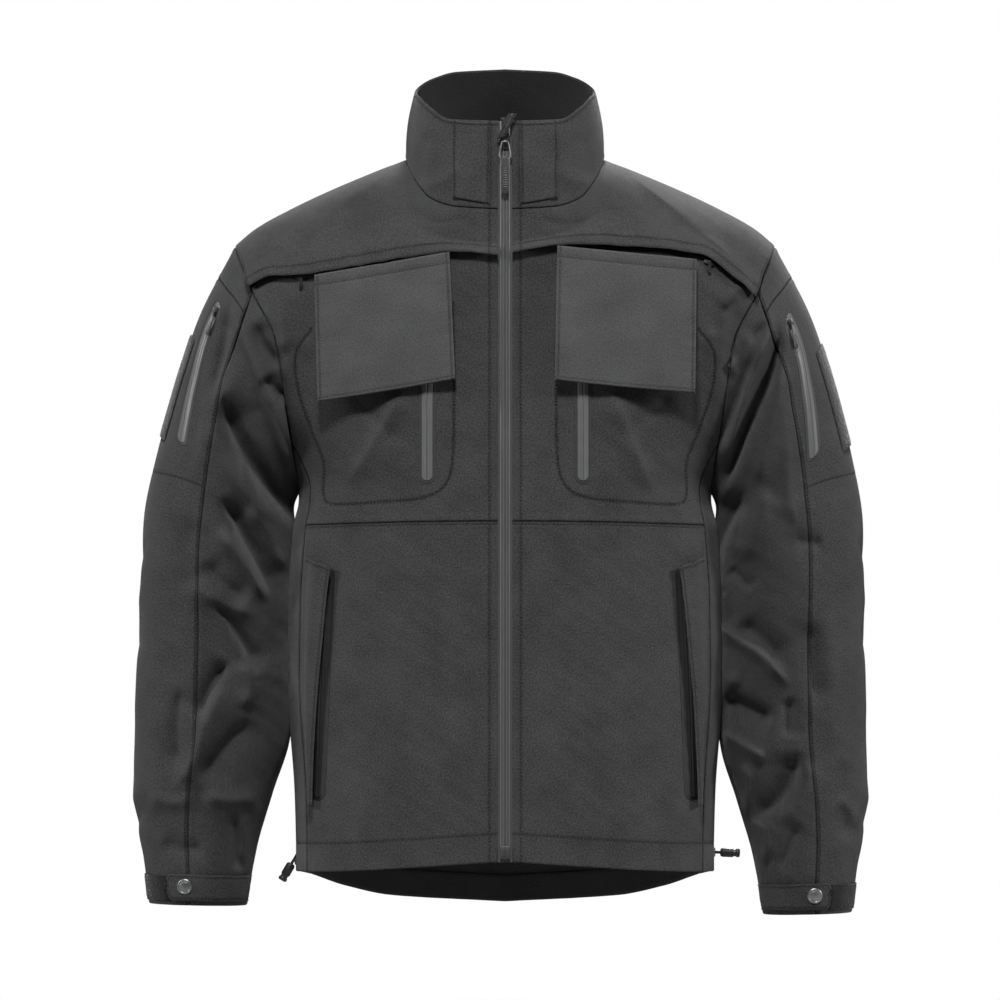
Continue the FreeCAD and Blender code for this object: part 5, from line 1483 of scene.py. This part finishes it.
def build_straight_zips():
    for kind, ends, length, out in (("chest", CHEST_ZIP, 214, (0, -1, 0)),
                                    ("hand", HAND_ZIP, 228, (0.75, -0.66, 0)),
                                    ("sleeve", SLEEVE_ZIP, 142, (0.55, -0.83, 0))):
        strips = Shape()
        for name, side in SIDES:
            top, bottom = ends[side]
            on_sleeve = kind == "sleeve"

            def point(a, b, s=side, on_sleeve=on_sleeve):
                return sleeve_point(b, a, s) if on_sleeve else torso_point(s * a, b)
            place = resting_frame(point, top, bottom, np.array(out) * (side, 1, 1))
            scale = 0.85 if on_sleeve else 1.0
            zone, core = ("sleeve", sleeve_core(side)) if on_sleeve else ("torso", torso_core)
            zip_strip(strips, on_line(point, top, bottom, scale), length, 10.5, zone, side, core)

            slider = Shape()
            sink = 0.5
            seat = moved(place, 0, sink, -4)
            slider_body(slider, seat, *POCKET_SLIDER, -2.7, -1.0)
            body = f"{kind}_slider_{name}"
            pull = Shape() if on_sleeve else slider
            pocket_pull(pull, moved(place, 0, sink, 0), -10)
            slider.piece(f"{kind}_zip_{name}_slider_and_pull", [METAL, RUBBER], "zip_metal",
                         [f"{kind}_zip_{name}_slider"], body, sharp=45)
            if on_sleeve:
                pull.piece(f"{kind}_zip_{name}_pull_grip", [METAL, RUBBER], "pull_rubber",
                           [f"{kind}_zip_{name}_pull"], f"sleeve_pull_{name}", sharp=45)
        # the hand zip strips take the near-black tape as painted shadow: a dark slit beside each welt
        strips.piece(f"{kind}_zip_strips", [ZIP_TAPE_PAINTED_SHADE, ZIP_TAPE_PAINTED_SHADE] if kind == "hand" else [TAPE, FILM],
                     "zip_laminate", [f"{kind}_zip_tapes"])


YOKE_ZIP = (212, 62)


def build_yoke_zips():
    strips = Shape()
    for name, side in SIDES:
        def strip(u, v, s=side):
            x = mix(*YOKE_ZIP, u)
            return torso_point(s * x, yoke_edge(s, x) + mix(-5, 5, v))

        def hidden(u, v):
            return strip(u, 0.35 + 0.65 * v)

        sheet = Sheet(hidden, (4, 0.6), zone="torso", lift=lambda u, v: coil_profile(v, u) - 0.1,
                      thickness=0.7, fine=(120, 40), edges=PLAIN)
        sheet.add_to(strips, 0, 0)
        top, end = strip(0.04, 0.5), strip(0.2, 0.5)
        here, ahead, up = strip(0.08, 0.5), strip(0.09, 0.5), strip(0.08, 0.51)
        facing = np.cross(ahead - here, up - here)
        facing *= -np.sign(facing[1])
        place = moved(frame_on(top, end, facing), 0, -0.8, 0)
        shape = Shape()
        slider_body(shape, place, *POCKET_SLIDER, -2.4, -1.1)
        hang = (placed(place, (0, -2.8, -5)), np.eye(3))
        outline = rounded([(-1.5, 1), (1.5, 1), (2, -12), (1, -14), (-1, -14), (-2, -12)], 0.7, 3)
        slab(shape, hang, outline, -1.1, 0, 0.35, 1)
        for k in range(3):
            z = -6.5 - 2 * k
            rib = rounded([(-1.5, z), (1.5, z), (1.5, z + 0.9), (-1.5, z + 0.9)], 0.3, 2)
            slab(shape, hang, rib, -1.4, -1.0, 0.2, 1)
        shape.piece(f"yoke_zip_{name}_slider_and_pull", [PLASTIC, PLASTIC], "zip_metal",
                    [f"yoke_zip_{name}_slider"], f"yoke_slider_{name}", sharp=45)
    # the yoke zip strips take the near-black tape as painted shadow under the yoke's edge
    strips.piece("yoke_zip_strips", [ZIP_TAPE_PAINTED_SHADE], "zip_laminate", ["yoke_zip_tapes"])


def hand_welt(side):
    def surface(u, v):
        z = mix(-402, -648, v)
        outer = seam_half_width(z, SIDE_SEAM) - 3
        width = mix(26, 9, v)
        return torso_point(side * (outer - width * (1 - u)), z - 10 * (1 - u) * (1 - v))

    def lift(u, v):
        return 2.1 + 5.9 * ease((1 - u) * 1.8) + 0.35 * (1 + np.sin(v * 9)) * (1 - u)
    return Sheet(surface, (1.6, 2.6), zone="torso", lift=lift, thickness=1.3, fine=(60, 160),
                 edges={**FOLDED, "end": "seam"}, stitched={"start": (3.0,), "low": (3.0,)})


def build_welts():
    cloth_piece("hand_pocket_welt_cloth", [hand_welt(side) for _, side in SIDES], ["hand_pocket_welts"],
                stitches="own")


# ---------------------------------------------------------------- panels, patches, cuffs and cord locks

TUCKED_UP = 0.045        # the share of a panel that goes up behind the yoke's edge
# how far each corner hangs from its nominal place, outwards and up:
# top inner, top outer, foot inner, foot outer
ID_HANG = {-1: ((-1.5, 0), (0, 0), (-8, 0), (-3.5, 3.5)), 1: ((-4, 0), (-3.5, 0), (-8, -7), (-6, -3.5))}


def id_panel_frame(side):
    """The panel's plane, its four corners in it, and its depth there."""
    (outer, outer_z), (inner, inner_z) = ID_PANEL[side]
    a, b = torso_point(side * outer, outer_z), torso_point(side * inner, inner_z)
    low = torso_point(side * (outer + inner) / 2, (outer_z + inner_z) / 2 - ID_DROP)
    across = unit(a - b) if side < 0 else unit(b - a)
    middle = (a + b) / 2
    out = unit(np.cross(low - middle, across))
    out = out if out[1] < 0 else -out
    x_axis = np.cross(-out, unit(np.array((0, 0, 1)) - out * out[2]))
    plane = (middle, np.array([x_axis, -out, np.cross(x_axis, -out)]))
    u, v = np.meshgrid(np.linspace(0, 1, 7), np.linspace(0, 1, 7))
    spots = torso_point(side * mix(inner, outer, u), mix(inner_z, outer_z, u) - ID_DROP * v)
    stand = ((spots - middle) @ -out).min() - ID_STAND
    plane = moved(plane, 0, stand, 0)
    nominal = ((inner, inner_z), (outer, outer_z), (inner, inner_z - ID_DROP + 3), (outer, outer_z - ID_DROP))
    corners = [((np.array((side * (x + dx), a[1], z + dz)) - plane[0]) @ plane[1].T)[[0, 2]]
               for (x, z), (dx, dz) in zip(nominal, ID_HANG[side])]
    return plane, corners


def id_panel(side):
    """A soft bound panel that hangs from under the yoke, full in the middle and curling at the foot."""
    plane, (a, b, c, d) = id_panel_frame(side)

    def surface(u, v):
        u, v = u[..., None], mix(-TUCKED_UP, 1, v[..., None])
        flat = mix(mix(a, b, u), mix(c, d, u), v)
        u, v = u[..., 0], v[..., 0]
        sag = 0.9 * np.sin(np.pi * u) * v ** 2
        curl = 1.6 * v ** 3 * (np.exp(-((u - 0.0) / 0.16) ** 2) - 0.9 * np.exp(-((u - 1.0) / 0.2) ** 2))
        full = 1.5 * np.sin(np.pi * np.clip(u, 0, 1)) * np.sin(np.pi * np.clip(v * 0.9, 0, 1))
        wave = (0.5 * np.sin(5.1 * u + 2.2 * v + side) + 0.35 * np.sin(11 * u - 7 * v)
                + 0.2 * np.sin(17 * v + 9 * u)) * np.sin(np.pi * v)
        return placed(plane, xyz(flat[..., 0], -ID_THICK - full - curl - wave, flat[..., 1] - sag))

    def binding(u, v):
        edge = np.minimum(np.minimum(u, 1 - u) * 137, np.minimum(v + 1, 1 - v) * ID_DROP)
        return 0.42 * np.exp(-((edge - 1.6) / 1.3) ** 4)
    return Sheet(surface, 1.3, zone="", lift=binding, thickness=ID_THICK, fine=(140, 140), edges=FOLDED,
                 stitched={"start": (3.4,), "end": (3.4,), "high": (3.4,), "low": (11,)})


def build_id_panels():
    for name, side in SIDES:
        body = f"id_panel_{name}"
        panel = cloth_piece(f"id_panel_{name}_cloth", [id_panel(side)], [body], [PANEL], (0, 0),
                            "panel_cloth", body, "own")


TAB_END = {-1: 57, 1: 64}        # the turn at which each cuff tab's free end lies
LOOP_FIELD = {-1: (1.45, 26), 1: (1.62, 32)}     # a loop field's start along the sleeve, its end round it


def loop_field(side, places, turns, lift, thick, step):
    """A loop-faced field on a sleeve, between two places along it and two turns round it."""
    def surface(u, v):
        return sleeve_point(mix(*places, v), mix(*turns, u), side)

    def rough(u, v):
        return lift + 0.16 * np.sin(u * 61 + 3 * np.sin(v * 23)) * np.sin(v * 97)
    return Sheet(surface, step, core=sleeve_core(side), zone="sleeve", side=side, lift=rough, thickness=thick,
                 fine=(110, 140), edges=FOLDED, stitched=dict.fromkeys(EDGES, (2.2,)))


def build_loop_fields():
    upper = [loop_field(side, (start, start + 2.15), (-40, edge), 2.1, 1.7, 1.6)
             for side, (start, edge) in LOOP_FIELD.items()]
    cloth_piece("sleeve_loop_fields", upper, ["sleeve_loop_patches"], [PILE], (0, 0), "loop_pile",
                stitches=None)
    cuff = [loop_field(side, (LAST - 1.15, LAST - 0.15), (-30, end + 2), 1.7, 1.4, 1.4)
            for side, end in TAB_END.items()]
    cloth_piece("cuff_loop_fields", cuff, ["cuff_loop_strips"], [CUFF_PILE], (0, 0), "loop_pile",
                stitches=None)


def cuff_tab_point(u, v, side):
    place, turn = mix(LAST - 1.25, LAST - 0.2, v), mix(TAB_END[side], 158, u)
    return sleeve_point(place, turn, side)


def build_cuffs():
    studs = Shape()
    for name, side in SIDES:
        def tab(u, v, s=side):
            end = 0.42 * (1 - np.sqrt(np.maximum(0, 1 - np.clip(1 - u / 0.055, 0, 1) ** 2)))
            return cuff_tab_point(u, mix(end, 1 - end, v), s)
        sheet = Sheet(tab, 1.5, core=sleeve_core(side), zone="sleeve", side=side, lift=4.6, thickness=1.8,
                      fine=(220, 70), edges=FOLDED,
                      stitched={"start": (3,), "low": (2.6,), "high": (2.6,), "end": (2.6,)})
        body = f"cuff_tab_{name}"
        cloth_piece(f"cuff_tab_{name}_cloth", [sheet], [body], body=body, stitches="own")

        here, along_u, along_v = (cuff_tab_point(*uv, side) for uv in ((0.2, 0.5), (0.21, 0.5), (0.2, 0.52)))
        spots = np.array([here, along_u, along_v])
        here, along_u, along_v = spots + relief(spots, "sleeve", side)
        normal = unit(np.cross(along_u - here, along_v - here))
        normal *= np.sign(normal @ (here - sleeve_core(side)(here)))
        cap = Shape()
        lathe(cap, axis_frame(here + normal * 4.5, normal),
              [(0, 0), (7.3, 0), (7.6, 0.4), (7.55, 0.9), (6.9, 1.5), (6.1, 1.62), (5.7, 1.35), (5.3, 1.35),
               (4.7, 1.75), (2.6, 2.15), (0.01, 2.3)], 48)
        cap.piece(f"snap_cap_{name}_metal", [SNAP], "snap_metal", [f"snap_cap_{name}"], body, sharp=40)
        lathe(studs, axis_frame(here + normal * 0.2, normal),
              [(0, 0), (6, 0), (6.2, 0.3), (5.9, 0.6), (3.6, 0.7), (3.0, 1.1), (3.1, 1.7), (2.6, 2.1),
               (0.01, 2.1)], 36)
    studs.piece("snap_stud_metal", [SNAP], "snap_metal", ["snap_studs"], sharp=40)


LOCK_WAY = {-1: (-0.5, -0.12, -0.86), 1: (0.99, -0.12, -0.03)}
LOCK_HEIGHT = {-1: -705, 1: -697}
LOCK_TRAVEL = {-1: 20, 1: 8}      # how far each lock slides out; its cord comes out of the hem with it


def build_cord_locks():
    eyelets, cords = Shape(), Shape()
    for name, side in SIDES:
        anchor = ring_point(88, LOCK_HEIGHT[side], side)
        way = unit(LOCK_WAY[side])
        hole = axis_frame(anchor + (side * 0.2, 0, 0), (side, 0, 0))
        lathe(eyelets, hole, [(2, 0), (4.5, 0), (4.7, 0.3), (4.2, 0.9), (3.2, 1.1), (2.3, 0.8), (2, 0.3)], 32)
        start = anchor + (side * 2.4, 0, 0)
        path = np.array([anchor + (side * 0.6, 0, 0), start, start + way * 2, start + way * 7])
        path = between(np.linspace(0, 3, 26), range(4), path)
        tube(cords, path, 1.45 + 0.12 * np.sin(np.arange(26) * 2.1), sides=12)
        body = start + way * 3.9
        lock = Shape()
        tube(lock, [start - way * (LOCK_TRAVEL[side] - 7), start + way * 2, start + way * 9], 1.3, slots=1)
        lathe(lock, axis_frame(body, way),
              [(1.9, 0.3), (2.4, 0), (3.3, 0.1), (4.2, 1.2), (4.6, 2.6), (4.65, 11.8), (4.5, 12.7), (4.1, 13),
               (3.95, 12.6), (3.95, 5), (1.9, 5)], 44, flutes=11, depth=0.05)
        lock.piece(f"cord_lock_{name}_barrel", [PLASTIC, WEBBING], "lock_plastic", [f"cord_lock_{name}"],
                   f"cord_lock_{name}", sharp=40)
        button = Shape()
        lathe(button, axis_frame(body + way * 8, way),
              [(0.01, 0), (3.3, 0), (3.6, 0.3), (3.6, 7.5), (4.1, 8.0), (4.4, 8.4), (4.4, 10.2), (4.1, 10.9),
               (3.5, 11.4), (1.4, 11.5), (0.01, 11.3)], 40)
        button.piece(f"cord_lock_button_{name}_plastic", [BUTTON], "button_plastic",
                     [f"cord_lock_button_{name}"], f"cord_lock_button_{name}", sharp=40)
    eyelets.piece("hem_eyelet_rings", [METAL], "zip_metal", ["hem_eyelets"], sharp=40)
    cords.piece("drawcord_end_stubs", [WEBBING], "webbing", ["drawcord_ends"])


def build_hang_loop():
    half, deep, wide = 28, 9, 7
    ends = np.array([(-half, 0), (-half + 9, -0.4), (-half + 15, -deep + 1.5), (-half + 21, -deep - 0.2),
                     (half - 21, -deep - 0.2), (half - 15, -deep + 1.5), (half - 9, -0.4), (half, 0)])
    line = smooth_line(ends, 120)

    def surface(u, v):
        at = u * (len(line) - 1)
        x = np.interp(at, range(len(line)), line[:, 0])
        y = np.interp(at, range(len(line)), line[:, 1])
        return xyz(x, MID_Y + 50.5 + y, mix(-wide / 2, wide / 2, v) + 0.3 * np.sin(u * 7))
    sheet = Sheet(surface, 1.0, core=lambda p: p + (0, 30, 0), zone="", lift=0, thickness=1.0, fine=(160, 20),
                  edges=FOLDED, stitched={"start": (3,), "end": (3,)})
    cloth_piece("hang_loop_strap", [sheet], ["hang_loop"], [WEBBING], (0, 0), "webbing", stitches="own")


# the pocket bags behind each front: (x from the middle, z) of two opposite corners
POCKET_BAGS = [((54, 184), (-345, -150)), ((42, 172), (-676, -440))]


def pocket_bag(side, across, up):
    def surface(u, v):
        return torso_point(side * mix(*across, u), mix(*up, v))

    def lift(u, v):
        return -CLOTH - 1.7 - 0.4 * np.sin(u * 8) * np.sin(v * 9)
    return Sheet(surface, 5, lift=lift, thickness=0.9, fine=(80, 80), edges=FOLDED)


def build_inside():
    """Mesh pocket bags behind the fronts, and the facing that turns up inside the hem."""
    bags = [pocket_bag(side, *bag) for _, side in SIDES for bag in POCKET_BAGS]
    cloth_piece("pocket_bag_netting", bags, ["pocket_bags"], [MESH_LINING], (0, 0), "mesh_cloth")

    def facing(u, v):
        degrees = mix(12, 348, u)
        turn = np.where(degrees < 180, degrees, 360 - degrees)
        side = np.where(degrees < 180, 1, -1)
        return ring_point(turn, hem_z(turn) + mix(1, 27, v), side)
    sheet = Sheet(facing, 3, lift=-CLOTH - 0.5, thickness=0.8, fine=(360, 24), edges=FOLDED,
                  stitched={"high": (2,)})
    cloth_piece("hem_facing_cloth", [sheet], ["hem_facing"], [LINING], (0, 0), "lining_cloth", stitches=None)


# ---------------------------------------------------------------- stage, light and camera

FLOOR_Z = -0.9
FLOOR_RADIUS = 1.05
AMBIENT = 0.05
LIGHTS = [("key_box", (-0.3, -3.0, 3.3), 0.8, 190), ("left_box", (-3.3, -0.9, 0.9), 0.9, 50),
          ("right_box", (3.3, -0.9, 1.0), 0.9, 66), ("back_box", (0.6, 3.4, 2.4), 1.4, 210)]
VIEW_HEIGHT = -0.345
CAMERA_AWAY = 10.0


def build_stage():
    mesh = bpy.data.meshes.new("floor")
    turns = np.linspace(0, 2 * math.pi, 96, endpoint=False)
    mesh.from_pydata([(FLOOR_RADIUS * math.cos(t), FLOOR_RADIUS * math.sin(t), FLOOR_Z) for t in turns], [],
                     [list(range(len(turns)))])
    m = Material("studio_floor", 0.9, specular=0.1)
    m.colour(m.noise(3, 2), (0.36, 0.36, 0.36), (0.42, 0.42, 0.42))
    mesh.materials.append(m.material)
    floor = bpy.data.objects.new("floor", mesh)
    bpy.context.scene.collection.objects.link(floor)


def area_light(name, place, target, size, power):
    light = bpy.data.lights.new(name, "AREA")
    light.shape, light.size, light.energy = "DISK", size, power
    made = bpy.data.objects.new(name, light)
    made.location = place
    way = Vector(target) - Vector(place)
    made.rotation_euler = way.to_track_quat("-Z", "Y").to_euler()
    bpy.context.scene.collection.objects.link(made)


def build_light():
    """Soft boxes above the front, at both sides and behind; the white surroundings add a little light."""
    world = bpy.data.worlds.new("studio")
    bpy.context.scene.world = world
    world.use_nodes = True
    nodes, links = world.node_tree.nodes, world.node_tree.links
    nodes.clear()
    seen, felt = nodes.new("ShaderNodeBackground"), nodes.new("ShaderNodeBackground")
    seen.inputs["Strength"].default_value = 1.0
    felt.inputs["Strength"].default_value = AMBIENT
    rays, blend, out = (nodes.new(kind) for kind in ("ShaderNodeLightPath", "ShaderNodeMixShader",
                                                     "ShaderNodeOutputWorld"))
    for background in (seen, felt):
        background.inputs["Color"].default_value = (1, 1, 1, 1)
    links.new(rays.outputs["Is Camera Ray"], blend.inputs[0])
    links.new(felt.outputs[0], blend.inputs[1])
    links.new(seen.outputs[0], blend.inputs[2])
    links.new(blend.outputs[0], out.inputs["Surface"])
    for name, place, size, power in LIGHTS:
        area_light(name, place, (0, 0, -0.35), size, power)
    bpy.context.scene.view_settings.view_transform = "Standard"


def build_camera():
    data = bpy.data.cameras.new("camera")
    data.sensor_width, data.lens = 36, 360
    data.clip_end = 200
    camera = bpy.data.objects.new("camera", data)
    camera.location = (-0.005, MID_Y * MM - CAMERA_AWAY, VIEW_HEIGHT)
    camera.rotation_euler = (math.radians(90), 0, 0)
    bpy.context.scene.collection.objects.link(camera)
    bpy.context.scene.camera = camera


build_camera()
build_light()
build_stage()
for build in (build_torso, build_sleeves, build_collar, build_main_tapes, build_main_coil, build_main_stop,
              build_main_slider, build_storm_flap, build_garage, build_straight_zips, build_yoke_zips,
              build_welts, build_id_panels, build_loop_fields, build_cuffs, build_cord_locks,
              build_hang_loop, build_inside):
    build()
seams.piece("stitching", [THREAD], "shell_cloth")
